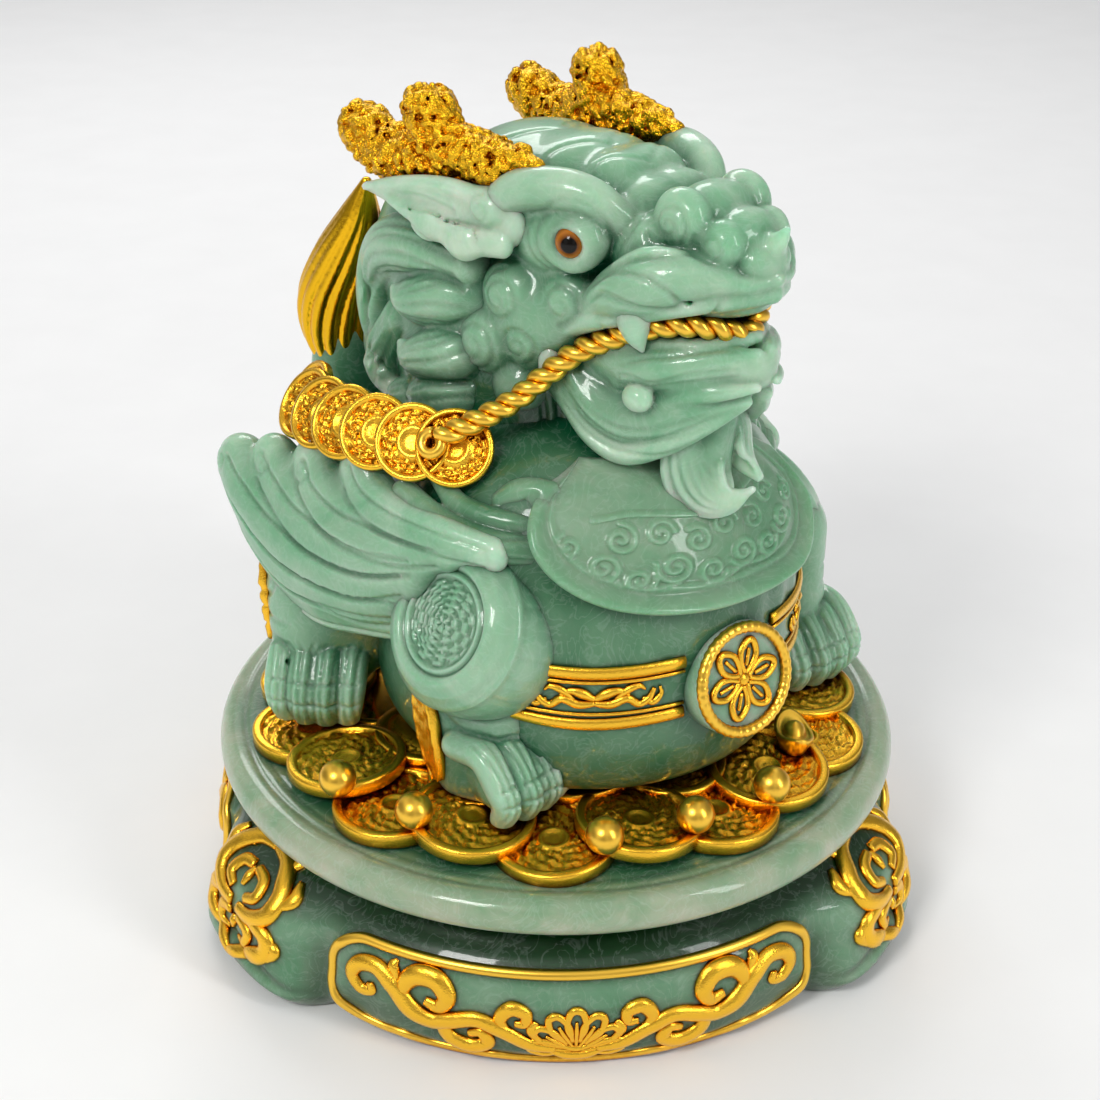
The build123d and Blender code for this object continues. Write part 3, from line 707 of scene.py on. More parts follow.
SCROLLS = [
    [(-4, 6.5, 0.8), (-9, 8.0, 1.3), (-14, 11.8, 1.5), (-19, 14.2, 1.5), (-24, 12.8, 1.6), (-28, 11.5, 1.7),
     (-32.5, 13.5, 1.9), (-36, 18.2, 1.8), (-40, 21.4, 1.6), (-44, 20.6, 1.5), (-45.6, 17.2, 1.3),
     (-43.6, 14.2, 1.2), (-41.2, 14.6, 1.0), (-41.4, 16.6, 0.7)],
    [(-13, 11.2, 0.7), (-14.6, 15.0, 1.2), (-12.6, 18.3, 1.4), (-9.8, 17.2, 1.2), (-9.9, 14.4, 0.9),
     (-11.8, 14.2, 0.6)],
    [(-21, 14.0, 0.8), (-25.4, 11.2, 1.2), (-24.6, 7.4, 1.5), (-20.6, 5.6, 1.6), (-17.2, 7.4, 1.4),
     (-18.2, 10.4, 1.1), (-20.8, 9.6, 0.7)],
    [(-33, 14.5, 0.8), (-34, 18.6, 1.4), (-31.6, 22.4, 1.9), (-27.4, 22.6, 2.0), (-25.0, 19.0, 1.7),
     (-26.6, 15.8, 1.3), (-29.4, 16.6, 0.9)],
    [(-35.2, 19.6, 0.7), (-36.4, 22.8, 1.1), (-35.8, 24.6, 0.4)],
    [(-7.5, 9.6, 0.6), (-8.6, 12.8, 0.9), (-7.6, 15.0, 0.5)],
]


def make_panels():
    """Gilt border and relief on each of the stand's three panels."""
    for index in range(3):
        middle = STAND_TURN + index * PANEL_TURN
        off, level = panel_outline(280)
        angle = middle + off
        border = tube(on_stand(angle, level, 0.25), 1.25, 12, flat=(stand_normal(angle, level), 0.85),
                      closed=True)
        add_mesh(f"panel_border_{index + 1}", f"panel_frame_{index + 1}", border, GOLD_SMOOTH, "stand")
        parts = []
        for route in SCROLLS:
            for side in (-1, 1):
                rows = [(x * side * 1.1, z * 0.94 + 0.4, w * 1.35) for x, z, w in route]
                parts.append(relief(rows, middle, 0.7))
        parts += shell_fan(middle)
        add_mesh(f"panel_scrolls_{index + 1}", f"panel_scrollwork_{index + 1}", join(parts), GOLD, "stand")


def shell_fan(middle):
    """Seven petals with a raised rim and rib each, over a double base line."""
    foot, wide = 6.0, 2.3
    rib = [(1, 0, 0.4), (0.5, 0, 0.55), (0.74, 0, 0.35)]
    rim = [(0.25, -0.5, 0.5), (0.62, -wide * 0.85, 0.75), (0.92, -wide * 0.6, 0.9), (1.0, 0, 1.0),
           (0.92, wide * 0.6, 0.9), (0.62, wide * 0.85, 0.75), (0.25, 0.5, 0.5)]
    parts = []
    for index in range(-3, 4):
        lean = math.radians(index * 27)
        reach = 11.6 - 0.45 * abs(index)
        c, s = math.cos(lean), math.sin(lean)
        for outline, height in ((rib, 1.1), (rim, 0.8)):
            route = []
            for share, aside, half in outline:
                far = 1 if outline is rib and share == 1 else reach * share
                route.append((far * s + aside * c, foot + far * c - aside * s, half))
            parts.append(relief(route, middle, height))
    base = [(-6.5, 6.8, 0.7), (-3, 5.2, 1.2), (0, 4.8, 1.4), (3, 5.2, 1.2), (6.5, 6.8, 0.7)]
    parts.append(relief(base, middle, 0.8))
    parts.append(relief([(-4.0, 8.0, 0.5), (0, 6.9, 0.9), (4.0, 8.0, 0.5)], middle, 0.9))
    return parts


ORNAMENT = [[(0, 31.0, 1.0), (4.4, 30.2, 1.5), (7.4, 26.8, 1.6), (7.2, 22.6, 1.5), (4.2, 19.8, 1.3),
             (1.0, 19.4, 1.0)],
            [(4.4, 28.6, 0.5), (6.2, 31.4, 1.1), (4.4, 33.2, 0.6)],
            [(7.6, 24.4, 0.6), (9.8, 26.8, 1.2), (9.0, 29.4, 0.6)],
            [(0.6, 27.4, 0.9), (3.2, 26.6, 1.1), (3.8, 24.0, 1.0), (1.8, 22.4, 0.8)],
            [(4.0, 19.6, 0.9), (7.6, 17.6, 1.5), (7.8, 13.4, 1.5), (4.6, 10.4, 1.4), (2.0, 8.4, 1.1),
             (0, 7.0, 0.8)],
            [(7.0, 16.6, 0.6), (9.4, 15.2, 1.2), (8.4, 12.4, 0.7)],
            [(1.0, 17.0, 0.9), (3.8, 15.4, 1.1), (3.4, 12.2, 0.9), (1.4, 11.6, 0.6)]]


def make_foot_ornaments():
    """Gilt rococo shields on the feet: two open ovals with curled leaves."""
    for index in range(3):
        middle = STAND_TURN + 60 + index * PANEL_TURN
        parts = []
        for route in ORNAMENT:
            for side in (-1, 1):
                parts.append(relief([(x * side * 1.5, z * 0.96, w * 1.55) for x, z, w in route], middle,
                                    0.7))
        for level in (24.6, 14.2):
            bead = [(0, level + 1.6, 0.6), (0, level, 1.2), (0, level - 1.6, 0.6)]
            parts.append(relief(bead, middle, 1.0))
        add_mesh(f"foot_shield_{index + 1}", f"foot_ornament_{index + 1}", join(parts), GOLD, "stand")


# ---- plate ----
def make_plate():
    """Turned plate with a bullnose edge and fine turned lines near its rim."""
    nose = (PLATE_TOP - PLATE_BOTTOM) / 2
    middle = PLATE_BOTTOM + nose
    pocket = float(box_mm("bearing_upper_race")[1][0]) + 0.3
    roof = float(box_mm("bearing_upper_race")[1][2]) + 0.02
    rivet = float(box_mm("pivot_rivet")[1][2]) + 0.3
    profile = [(0, rivet), (6.3, rivet), (6.4, roof), (pocket, roof), (pocket, PLATE_BOTTOM + 0.2),
               (pocket + 0.2, PLATE_BOTTOM)]
    profile += [(r, PLATE_BOTTOM) for r in (40, 55, 68, 72)]
    for angle in np.linspace(-90, 90, 26):
        a = math.radians(angle)
        profile.append((PLATE_RADIUS - nose + nose * math.cos(a) ** 0.85, middle + nose * math.sin(a)))
    lines = {74.6: -0.10, 74.0: -0.42, 73.4: -0.10, 71.6: 0.0, 71.0: -0.22, 70.4: 0.0}
    profile += [(r, PLATE_TOP + drop) for r, drop in lines.items()]
    profile += [(r, PLATE_TOP) for r in (66, 50, 30, 12, 0)]
    weld(add_mesh("plate_stone", "turning_plate", lathe(profile, 360), JADE_GREY, "turntable"))


# ---- coin heap ----
def polar(radius, angle, level):
    """One point at a radius, an angle in degrees and a level."""
    a = math.radians(angle)
    return np.array((radius * math.sin(a), -radius * math.cos(a), level))


def coin_mesh(radius, thick, seed, rim=2.3):
    """Coin with a rolled rim, a sunk face with hatched granules and a round boss ring."""
    rng = np.random.default_rng(seed)
    columns = 96
    angle = np.linspace(0, 2 * math.pi, columns, endpoint=False)
    face_level = thick - 1.1
    rows = []
    for r in [0.0, 1.2, 2.2, 2.6, 3.4, 3.8] + list(np.linspace(4.4, radius - rim - 0.2, 12)):
        level = np.full(columns, face_level)
        if 2.3 < r < 3.6:
            level += 0.45
        if r > 4.2:
            hatch = np.sign(np.sin(angle * 9 + r) * math.sin(r * 3.3))
            level += 0.5 * (rng.random(columns) - 0.5) + 0.3 * hatch
        rows.append((r, level))
    rows += [(radius - rim, face_level + 0.1), (radius - rim + 0.25, thick - 0.1),
             (radius - rim + 0.7, thick), (radius - 0.6, thick), (radius - 0.15, thick - 0.2),
             (radius, thick - 0.6), (radius, 0.5), (radius - 0.5, 0.0), (radius * 0.6, 0.0), (0.0, 0.0)]
    rings = [np.stack(np.broadcast_arrays(r * np.cos(angle), r * np.sin(angle), z), 1) for r, z in rows]
    return np.vstack(rings), ring_faces(len(rows), columns, inward=True)


def placed(part, spot, tilt=(0, 0, 0)):
    """Turn a part by X, Y, Z angles in degrees and move it."""
    turn = np.array(Euler([math.radians(t) for t in tilt]).to_matrix())
    return part[0] @ turn.T + np.array(spot), part[1]


def make_heap():
    """Bed and two rings of overlapping coins, laid a little unevenly."""
    coin_ring, radius = 59.0, 13.6
    thick = (SEAT - PLATE_TOP) / 2
    rng = np.random.default_rng(4)
    low, high, bed = [], [], []
    for index in range(COIN_COUNT):
        angle = index * 360 / COIN_COUNT
        lean = rng.uniform(-3, 3)
        if index % 2 == 0:
            spot = polar(coin_ring + rng.uniform(-0.6, 1.4), angle, PLATE_TOP + 0.1)
            tilt = (rng.uniform(-2.0, 3.5), rng.uniform(-3, 3), angle + lean)
            low.append(placed(coin_mesh(radius + rng.uniform(-0.6, 0.5), thick + 0.9, index), spot, tilt))
        else:
            spot = polar(coin_ring - 1.2 + rng.uniform(-1.2, 0.6), angle, PLATE_TOP + thick - 0.2)
            tilt = (rng.uniform(-3, 6), rng.uniform(-5, 5), angle)
            high.append(placed(coin_mesh(radius + rng.uniform(-0.4, 0.6), thick + 0.7, 100 + index), spot,
                               tilt))
    for index in range(12):
        spot = polar(37 + 5 * (index % 2), index * 30 + 8, SEAT - 2.9 + 0.5 * (index % 3))
        tilt = (rng.uniform(-6, 6), rng.uniform(-6, 6), index * 30)
        bed.append(placed(coin_mesh(12.5, 2.6, 300 + index), spot, tilt))
    bed.append(lathe([(0, PLATE_TOP + 0.1), (44, PLATE_TOP + 0.1), (46, PLATE_TOP + 1.5),
                      (43.5, SEAT - 0.5), (40, SEAT - 0.1), (20, SEAT - 0.1), (0, SEAT - 0.1)], 96))
    for name, node, parts in (("coin_bed_cast", "coin_bed", bed), ("coins_low_cast", "coins_lower", low),
                              ("coins_high_cast", "coins_upper", high)):
        weld(add_mesh(name, node, join(parts), GOLD, "turntable"))


def sphere_mesh(centre, radius, count=28):
    """Round bead."""
    profile = []
    for t in np.linspace(-math.pi / 2, math.pi / 2, count // 2 + 1):
        profile.append((abs(radius * math.cos(t)), radius * math.sin(t)))
    profile[0], profile[-1] = (0, -radius), (0, radius)
    verts, faces = lathe(profile, count)
    return verts + np.array(centre), faces


# half length, half width, level and sag of each ring of an ingot
BOAT = [(0.1, 0.1, 0, 0), (3.6, 2.2, 0, 0), (4.6, 3.0, 0.6, 0), (6.6, 3.9, 3.2, 1.0), (7.6, 4.3, 4.8, 1.6),
        (7.3, 4.0, 5.2, 1.7), (6.6, 3.4, 5.0, 1.6), (3.6, 2.6, 3.9, 0.5), (3.0, 2.5, 4.8, 0),
        (2.2, 2.0, 6.0, 0), (1.1, 1.0, 6.7, 0), (0.02, 0.02, 6.9, 0)]


def boat_mesh():
    """Ingot: an oval boat with upturned ends and a round boss in its middle."""
    count = 40
    t = np.linspace(0, 2 * math.pi, count, endpoint=False)
    rows = [np.stack([wide * np.cos(t), deep * np.sin(t), level + sag * (np.cos(t) ** 2 - 0.35)], 1)
            for wide, deep, level, sag in BOAT]
    return np.vstack(rows), ring_faces(len(rows), count)


PAW_SPOTS = turned(np.array([(34.0, -41.0, 0), (41.0, 47.0, 0), (-24.0, -51.0, 0), (-24.0, 51.0, 0)]))
PAW_REACH = 15.5


def under_paw(spot):
    """True where a paw stands on the heap."""
    return min(np.hypot(*(spot - paw_spot)[:2]) for paw_spot in PAW_SPOTS) < PAW_REACH


def make_beads():
    """Round pearls between the coins, and boat ingots lying on them."""
    rng = np.random.default_rng(9)
    beads, boats = [], []
    for index in range(COIN_COUNT):
        angle = (index + 0.5) * 360 / COIN_COUNT
        if under_paw(polar(64, angle, 0)):
            continue
        if index % 4 == 3:
            tilt = (rng.uniform(-8, 8), rng.uniform(-8, 8), angle + rng.uniform(-40, 40))
            boats.append(placed(boat_mesh(), polar(60, angle, SEAT - 0.5), tilt))
        else:
            beads.append(sphere_mesh(polar(66.5 + rng.uniform(-1.5, 1.0), angle, SEAT + 3.2), 4.1))
    for name, node, parts in (("pearls", "coin_beads", beads), ("ingot_boats", "ingots", boats)):
        weld(add_mesh(name, node, join(parts), GOLD_SMOOTH, "turntable"))


# ---- carving on the clay ----
FINE = 0.5
BROAD = 0.62
COARSE = 0.75


def sample(clay, points):
    """Field value at points, by straight blending between grid corners."""
    spot = (points - clay.low) / clay.step
    base = np.clip(np.floor(spot).astype(int), 0, np.array(clay.value.shape) - 2)
    part = np.clip(spot - base, 0, 1)
    total = np.zeros(len(points))
    for corner in CORNERS:
        i, j, k = corner
        share = np.abs(1 - i - part[:, 0]) * np.abs(1 - j - part[:, 1]) * np.abs(1 - k - part[:, 2])
        total += share * clay.value[base[:, 0] + i, base[:, 1] + j, base[:, 2] + k]
    return total


def uphill(clay, points):
    """Outward direction of the field at points."""
    out = np.zeros_like(points)
    for axis in range(3):
        nudge = np.zeros(3)
        nudge[axis] = clay.step * 1.5
        out[:, axis] = sample(clay, points + nudge) - sample(clay, points - nudge)
    return out / (np.linalg.norm(out, axis=1, keepdims=True) + 1e-9)


def snap(clay, rows, lift=0.0):
    """Bring a route that runs inside the clay out onto its surface, then lift it."""
    rows = np.array(rows, float)
    points = rows[:, :3]
    for _ in range(14):
        value = sample(clay, points)
        known = (value < 0.8 * FAR)[:, None]
        points = points - np.where(known, uphill(clay, points) * np.clip(value, -2, 2)[:, None] * 0.8, 0)
    points = points + uphill(clay, points) * lift
    return np.hstack([points, rows[:, 3:]])


def put_both(clay, points, soft=1.0, **more):
    """Strand and its mirror image."""
    for rows in both(points):
        clay.put(strand(rows, **more), soft)


def ball_both(clay, centre, half, soft=1.0, cut=False):
    """Ball and its mirror image."""
    for flip in (1, -1):
        clay.put(ball((centre[0], centre[1] * flip, centre[2]), half), soft, cut)


def curl_rows(centre, normal, radius, turns, thick, start, spin):
    """Spiral that winds in from its radius to a small eye."""
    count = int(20 * turns) + 4
    t = np.linspace(0, 1, count)
    rows = hoop(centre, normal, 1.0, 1.0, start, spin * 360 * turns, count)
    reach = radius * (1 - 0.86 * t)
    rows[:, :3] = np.array(centre) + (rows[:, :3] - np.array(centre)) * reach[:, None]
    rows[:, 3] = thick * (1 - 0.45 * t)
    return rows


def carve_curl(clay, centre, normal, radius, turns, thick, start=0.0, sides=(1, -1)):
    """Spiral line cut into the surface on both sides."""
    for flip in sides:
        c = (centre[0], centre[1] * flip, centre[2])
        n = (normal[0], normal[1] * flip, normal[2])
        rows = snap(clay, curl_rows(c, n, radius, turns, thick, start, flip), thick * 0.25)
        clay.put(strand(rows, per_span=1), 0.5, cut=True)


def carve_line(clay, points, sides=(1, -1), soft=0.5, lift=0.2):
    """Line cut into the surface."""
    for flip in sides:
        rows = smooth_path(points)
        rows[:, 1] *= flip
        rows = snap(clay, rows, lift)
        clay.put(strand(rows, per_span=1), soft, cut=True)


def lock(clay, points, width, count, out, sides=(1, -1), fill=0.62, arch=0.5):
    """Bundle of strands side by side along a route; the bundle is narrow at its ends."""
    for flip in sides:
        rows = smooth_path(points, 6)
        way = np.gradient(rows[:, :3], axis=0)
        way = unit(way)
        outward = np.broadcast_to(np.array(out, float), way.shape)
        side = np.cross(way, outward)
        side = unit(side)
        up = np.cross(side, way)
        up *= np.sign((up * outward).sum(1, keepdims=True))
        part = np.linspace(0, 1, len(rows))
        swell = 0.35 + 0.65 * np.sin(np.pi * np.clip(part * 0.8 + 0.1, 0, 1))
        spread = width * rows[:, 3] / rows[:, 3].max() * swell
        core = np.hstack([rows[:, :3] - up * (spread * 0.22)[:, None],
                          np.maximum(0.4, spread * 0.27)[:, None]])
        core[:, 1] *= flip
        clay.put(strand(core, per_span=1), 0.5)
        for index in range(count):
            across = (index + 0.5) / count * 2 - 1
            sway = 0.07 * width * np.sin(2 * np.pi * (1.4 * part + 0.06 * index))
            sink = across ** 2 * arch * spread / 2
            shift = side * (spread * across / 2 + sway)[:, None] - up * sink[:, None]
            radius = np.maximum(0.45, spread / count * fill * 0.95)
            one = np.hstack([rows[:, :3] + shift, radius[:, None]])
            one[:, 1] *= flip
            clay.put(strand(one, per_span=1), 0.5)


def finish_clay(clay, name, node, material, floor=None):
    """Mesh the clay, cut off level at a floor if there is one, and add it as a piece of the beast."""
    if floor is not None:
        clay.trim(lambda x, y, z: floor - z + 0 * x + 0 * y)
    add_mesh(name, node, clay.mesh(), material)


# ---- belly and bib ----
BELLY_X, BELLY_Z = 9.0, 82.0
BELLY_RADIUS, BELLY_RISE, BELLY_DEPTH = 48.0, 48.0, SEAT * -1 + BELLY_Z + 0.9
BIB_MIDDLE = -9.0


def belly_at(angle, level, proud=0.0):
    """Points on the belly for arrays of angle (degrees to the beast's left of ahead) and level."""
    rise = level - BELLY_Z
    reach = np.where(rise > 0, BELLY_RISE, BELLY_DEPTH)
    power = np.where(rise > 0, 2.5, 6.0)
    radius = BELLY_RADIUS * np.maximum(0.0, 1 - np.minimum(1, np.abs(rise) / reach) ** power) ** (1 / power)
    a = np.radians(angle)
    return np.stack([BELLY_X + (radius + proud) * np.cos(a), (radius + proud) * np.sin(a), level + 0 * a],
                    -1)


def shell_mesh(outer, inner):
    """Closed mesh between two grids of points of one size."""
    rows, columns = outer.shape[:2]
    verts = np.vstack([outer.reshape(-1, 3), inner.reshape(-1, 3)])
    index = np.arange(rows * columns).reshape(rows, columns)
    top = np.stack([index[:-1, :-1], index[:-1, 1:], index[1:, 1:], index[1:, :-1]], -1).reshape(-1, 4)
    under = top[:, ::-1] + rows * columns
    loop = np.concatenate([index[0, :-1], index[:-1, -1], index[-1, :0:-1], index[:0:-1, 0]])
    after = np.roll(loop, -1)
    edge = np.stack([loop, loop + rows * columns, after + rows * columns, after], 1)
    return verts, np.vstack([top, under, edge])


def line_height(u, v, route, wide, tall):
    """Height of a rounded ridge along a route on a flat drawing, for arrays u and v."""
    rows = smooth_path(route, 6)
    best = np.full(u.shape, 1e9)
    for a, b in zip(rows[:-1], rows[1:]):
        run = b - a
        t = np.clip(((u - a[0]) * run[0] + (v - a[1]) * run[1]) / max(run @ run, 1e-9), 0, 1)
        best = np.minimum(best, (u - a[0] - t * run[0]) ** 2 + (v - a[1] - t * run[1]) ** 2)
    gap = np.sqrt(best) / wide
    return tall * np.where(gap < 1, 1 - gap ** 2, 0)


def spiral_route(u, v, radius, turns, start, spin):
    """Spiral about a point of a flat drawing, winding in to a small eye."""
    t = np.linspace(0, 1, int(12 * turns) + 3)
    angle = math.radians(start) + spin * t * 2 * math.pi * turns
    reach = radius * (1 - 0.85 * t)
    return np.stack([u + reach * np.cos(angle), v + reach * np.sin(angle)], 1)


def make_belly():
    """Squarish ball with soft pleats that fan down from under the bib."""
    columns, rows = 420, 150
    angle = np.linspace(0, 360, columns, endpoint=False)
    level = BELLY_Z + np.concatenate([np.linspace(-1, 0, 60, endpoint=False) * (BELLY_Z - SEAT),
                                      BELLY_RISE * np.sin(np.linspace(0, math.pi / 2, rows - 60))])
    angle, level = np.meshgrid(angle, level)
    pleat = np.cos(np.radians(angle * 15)) ** 2 * ease(level, 74, 96) * (1 - ease(level, 108, 120)) * 0.5
    verts = belly_at(angle, level, -pleat)
    verts[-1, :, :2] = (BELLY_X, 0)
    bottom = verts[0].copy()
    bottom[:, :2] = (BELLY_X, 0)
    verts = np.vstack([bottom[None], verts])
    part = verts.reshape(-1, 3), ring_faces(len(verts), columns)
    weld(add_mesh("belly_stone", "belly", part, JADE_BODY))


BIB_EDGE = [(-62, 120), (-62, 115), (-59, 110), (-52, 105), (-42, 101), (-30, 98.6), (-16, 97.2),
            (-2, 96.6), (10, 96.2), (20, 95.8), (29, 97), (36, 100.5), (41, 106), (45, 116)]


def make_bib():
    """Saddle over the belly's upper front: a rolled rim round a dish of cloud scrolls."""
    columns, rows = ((300, 160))
    edge = smooth_path(BIB_EDGE, 8)
    part = np.linspace(0, 1, columns)
    along = np.linspace(0, 1, len(edge))
    angle = np.interp(part, along, edge[:, 0])[None, :]
    low = np.interp(part, along, edge[:, 1])[None, :]
    s = (np.linspace(0, 1, rows) ** 0.8)[:, None]
    top = 124.5
    level = low + (top - low) * s
    lean = BIB_MIDDLE + (angle - BIB_MIDDLE) * (1 - 0.25 * s)
    u = np.radians(lean - BIB_MIDDLE) * 40
    v = (level - 96) * 1.25 + 0 * u
    from_edge = np.minimum((level - low) * 1.25 + 0.2, (1 - np.abs(part * 2 - 1)[None, :]) * 44 + 0.2)
    rim = 2.6 * np.exp(-((from_edge - 2.2) / 2.1) ** 2)
    dish = -0.7 * ease(from_edge, 3, 6)
    corner = 1 - ease(np.abs(part * 2 - 1)[None, :] + 0.25 * s, 0.80, 1.10)
    proud = (2.0 + rim + dish) * corner - 2.2 * ease(-from_edge, -0.9, 0)
    inner_line = 0.7 * np.exp(-((from_edge - 6.2) / 0.8) ** 2)
    relief_map = np.zeros_like(level + u)
    motifs = [(-22, 15, 3.6, 1.6, 200, 1), (-15.5, 11.5, 3.2, 1.5, 20, -1), (-8.5, 13.5, 3.8, 1.7, 160, 1),
              (-1, 10.8, 3.2, 1.5, -30, -1), (6.5, 12.6, 3.6, 1.6, 200, 1), (13.5, 11.4, 3.2, 1.5, 0, -1),
              (20.5, 14.0, 3.6, 1.6, 180, 1), (-18.5, 21, 3.4, 1.5, 90, -1), (-10.5, 21.5, 3.0, 1.5, 0, 1),
              (-3, 18.6, 3.0, 1.4, 120, -1), (4, 20.4, 3.2, 1.5, 0, 1), (11.5, 19.0, 3.0, 1.5, 100, -1),
              (18.5, 22.0, 3.0, 1.5, 0, 1), (26.5, 18, 2.8, 1.4, 60, -1), (-28.5, 19.5, 2.8, 1.4, 120, 1)]
    for cu, cv, radius, turns, start, way in motifs:
        route = spiral_route(cu, cv, radius, turns, start, way)
        relief_map = np.maximum(relief_map, line_height(u + 0 * v, v, route, 0.85, 0.8))
    stems = [[(-26, 12), (-20, 9.5), (-14, 9.0), (-8, 9.8)], [(-10, 9), (-4, 8.0), (2, 8.4), (6, 9.6)],
             [(8, 8.8), (14, 8.2), (20, 9.8), (25, 13)], [(-24, 25), (-16, 26), (-8, 25), (0, 23.6)],
             [(2, 24), (9, 24.6), (16, 26), (22, 25.4)]]
    for route in stems:
        relief_map = np.maximum(relief_map, line_height(u + 0 * v, v, route, 0.8, 0.7))
    proud = proud + inner_line + relief_map * ease(from_edge, 5.5, 7.5)
    outer = belly_at(lean + 0 * level, level + 0 * lean, proud)
    inner = belly_at(lean + 0 * level, level + 0 * lean, -1.2 + 0 * proud)
    add_mesh("bib_stone", "bib", shell_mesh(outer, inner), JADE_BODY)


# ---- belt and medallion ----
BAND_TOP, BAND_BOTTOM = 85.3, 73.2


def belly_normal(angle, level):
    """Outward direction of the belly."""
    return wall_normal(belly_at, angle, level, 0.5)


def belly_line(rows, height):
    """Raised gilt line on the belly; rows are (angle, level, half width)."""
    rows = smooth_path(rows, 8)
    centre = belly_at(rows[:, 0], rows[:, 1], 0.25)
    return tube(centre, rows[:, 2], 10, flat=(belly_normal(rows[:, 0], rows[:, 1]), height))


BAT = [[(0, 78.6, 0.7), (3, 80.0, 1.2), (6, 80.6, 0.8), (8.6, 79.4, 0.4)],
       [(0, 77.6, 0.7), (4, 77.4, 1.1), (8, 78.6, 1.0), (11, 77.0, 0.9), (13.5, 78.0, 0.8),
        (15, 80.4, 0.5)],
       [(5, 78.4, 0.4), (8, 80.6, 0.9), (11, 81.4, 0.7), (12.6, 80.4, 0.3)],
       [(12.0, 78.4, 0.4), (14.6, 77.0, 0.8), (16.8, 78.8, 0.6), (16.4, 80.6, 0.3)]]


def make_belt():
    """Two gilt bands with double edges, and a small scroll spray on each side of the medallion."""
    parts = []
    for low, high in ((-73, -19), (11, 66)):
        middle = (low + high) / 2
        for level, half in ((BAND_TOP, 1.5), (BAND_BOTTOM, 1.5)):
            sag = -0.5 if level == BAND_TOP else -0.8
            rows = [(low, level + 1.2, half * 0.9), (middle, level + sag, half), (high, level, half)]
            parts.append(belly_line(rows, 0.55))
        for level, half in ((BAND_TOP - 2.2, 0.45), (BAND_BOTTOM + 2.2, 0.45)):
            rows = [(low + 1, level + 1.0, half), (middle, level - 0.5, half), (high, level, half)]
            parts.append(belly_line(rows, 0.9))
        for route in BAT:
            for side in (-1, 1):
                parts.append(belly_line([(middle + 4 + a * side, z, w) for a, z, w in route], 0.9))
    add_mesh("belt_gilt", "belt", join(parts), GOLD)


def medallion_frame():
    """Centre, and the across, up and outward directions of the medallion."""
    centre = belly_at(np.array(-4.0), np.array(78.5), 2.5)
    out = np.array((math.cos(math.radians(-8)), math.sin(math.radians(-8)), 0.26))
    out = unit(out)
    across = np.cross((0, 0, 1.0), out)
    across = unit(across)
    return centre, across, np.cross(out, across), out


def on_medal(points):
    """Points given as (across, up, out) from the medallion's middle."""
    centre, across, up, out = medallion_frame()
    points = np.asarray(points, float)
    return centre + points[:, :1] * across + points[:, 1:2] * up + points[:, 2:3] * out


def make_medallion():
    """Jade disc, a ribbed gilt ring, and a petalled rosette."""
    disc = lathe([(0, -8), (12.2, -8), (12.6, 1.0), (12.0, 1.6), (10, 0.9), (7, 1.15), (0, 1.3)], 96)
    weld(add_mesh("medallion_stone", "medallion", (on_medal(disc[0]), disc[1]), JADE))
    t = np.linspace(0, 2 * math.pi, 160, endpoint=False)
    route = np.stack([11.4 * np.cos(t), 11.4 * np.sin(t), np.full(160, 1.6)], 1)
    ring = tube(on_medal(route), 1.25 + 0.08 * np.sin(40 * t), 14, closed=True)
    add_mesh("medallion_rim", "medallion_ring", ring, GOLD_SMOOTH)
    parts = []
    for index in range(6):
        lean = math.radians(index * 60 + 10)
        c, s = math.cos(lean), math.sin(lean)
        loop = [(1.4, 0.1), (3.4, 1.5), (5.8, 2.1), (8.0, 1.1), (8.6, 0.0), (8.0, -1.1), (5.8, -2.1),
                (3.4, -1.5), (1.4, -0.1)]
        rows = smooth_path([(x * c - y * s, x * s + y * c, 1.25) for x, y in loop], 5)
        width = 0.62 + 0.25 * np.sin(np.linspace(0, math.pi, len(rows)))
        parts.append(tube(on_medal(rows), width, 8))
        rib = smooth_path([(x * c, x * s, 1.3) for x in (3.0, 5.0, 6.8)], 4)
        parts.append(tube(on_medal(rib), 0.5, 8))
    centre_boss = tube(on_medal(np.array([(0, 0, 0.6), (0, 0, 1.4), (0, 0, 2.0)])), [1.7, 1.6, 0.8], 16)
    parts.append(centre_boss)
    add_mesh("medallion_rosette", "medallion_emblem", join(parts), GOLD)


# ---- body castings ----
def make_rump():
    """Hindquarters with a ridge of curled plates along the back."""
    clay = Clay((-66, -44, SEAT), (14, 44, 126), COARSE)
    clay.put(ball((-26, 0, 84), (38, 40, 37)))
    clay.put(strand([(-20, 0, 118, 12), (-38, 0, 108, 13), (-54, -4, 92, 12), (-58, -2, 76, 9)]), 8)
    for index in range(6):
        t = index / 5
        x, z = -24 - 34 * math.sin(t * 1.5), 126 - 38 * (1 - math.cos(t * 1.5)) - 2
        clay.put(ball((x, 0, z), (4.6, 6.2, 4.4)), 0.8)
        carve_curl(clay, (x - 1, -5, z - 4), (-0.5, -0.8, 0.4), 4.0, 1.4, 0.6)
    for start in range(5):
        x = -20 - 9 * start
        carve_line(clay, [(x + 8, -30, 104 - 4 * start, 0.5), (x, -34, 92 - 3 * start, 0.8),
                          (x - 2, -36, 80 - 3 * start, 0.8), (x + 4, -36, 70 - 2 * start, 0.4)])
    finish_clay(clay, "rump_stone", "rump", JADE_BODY, SEAT)


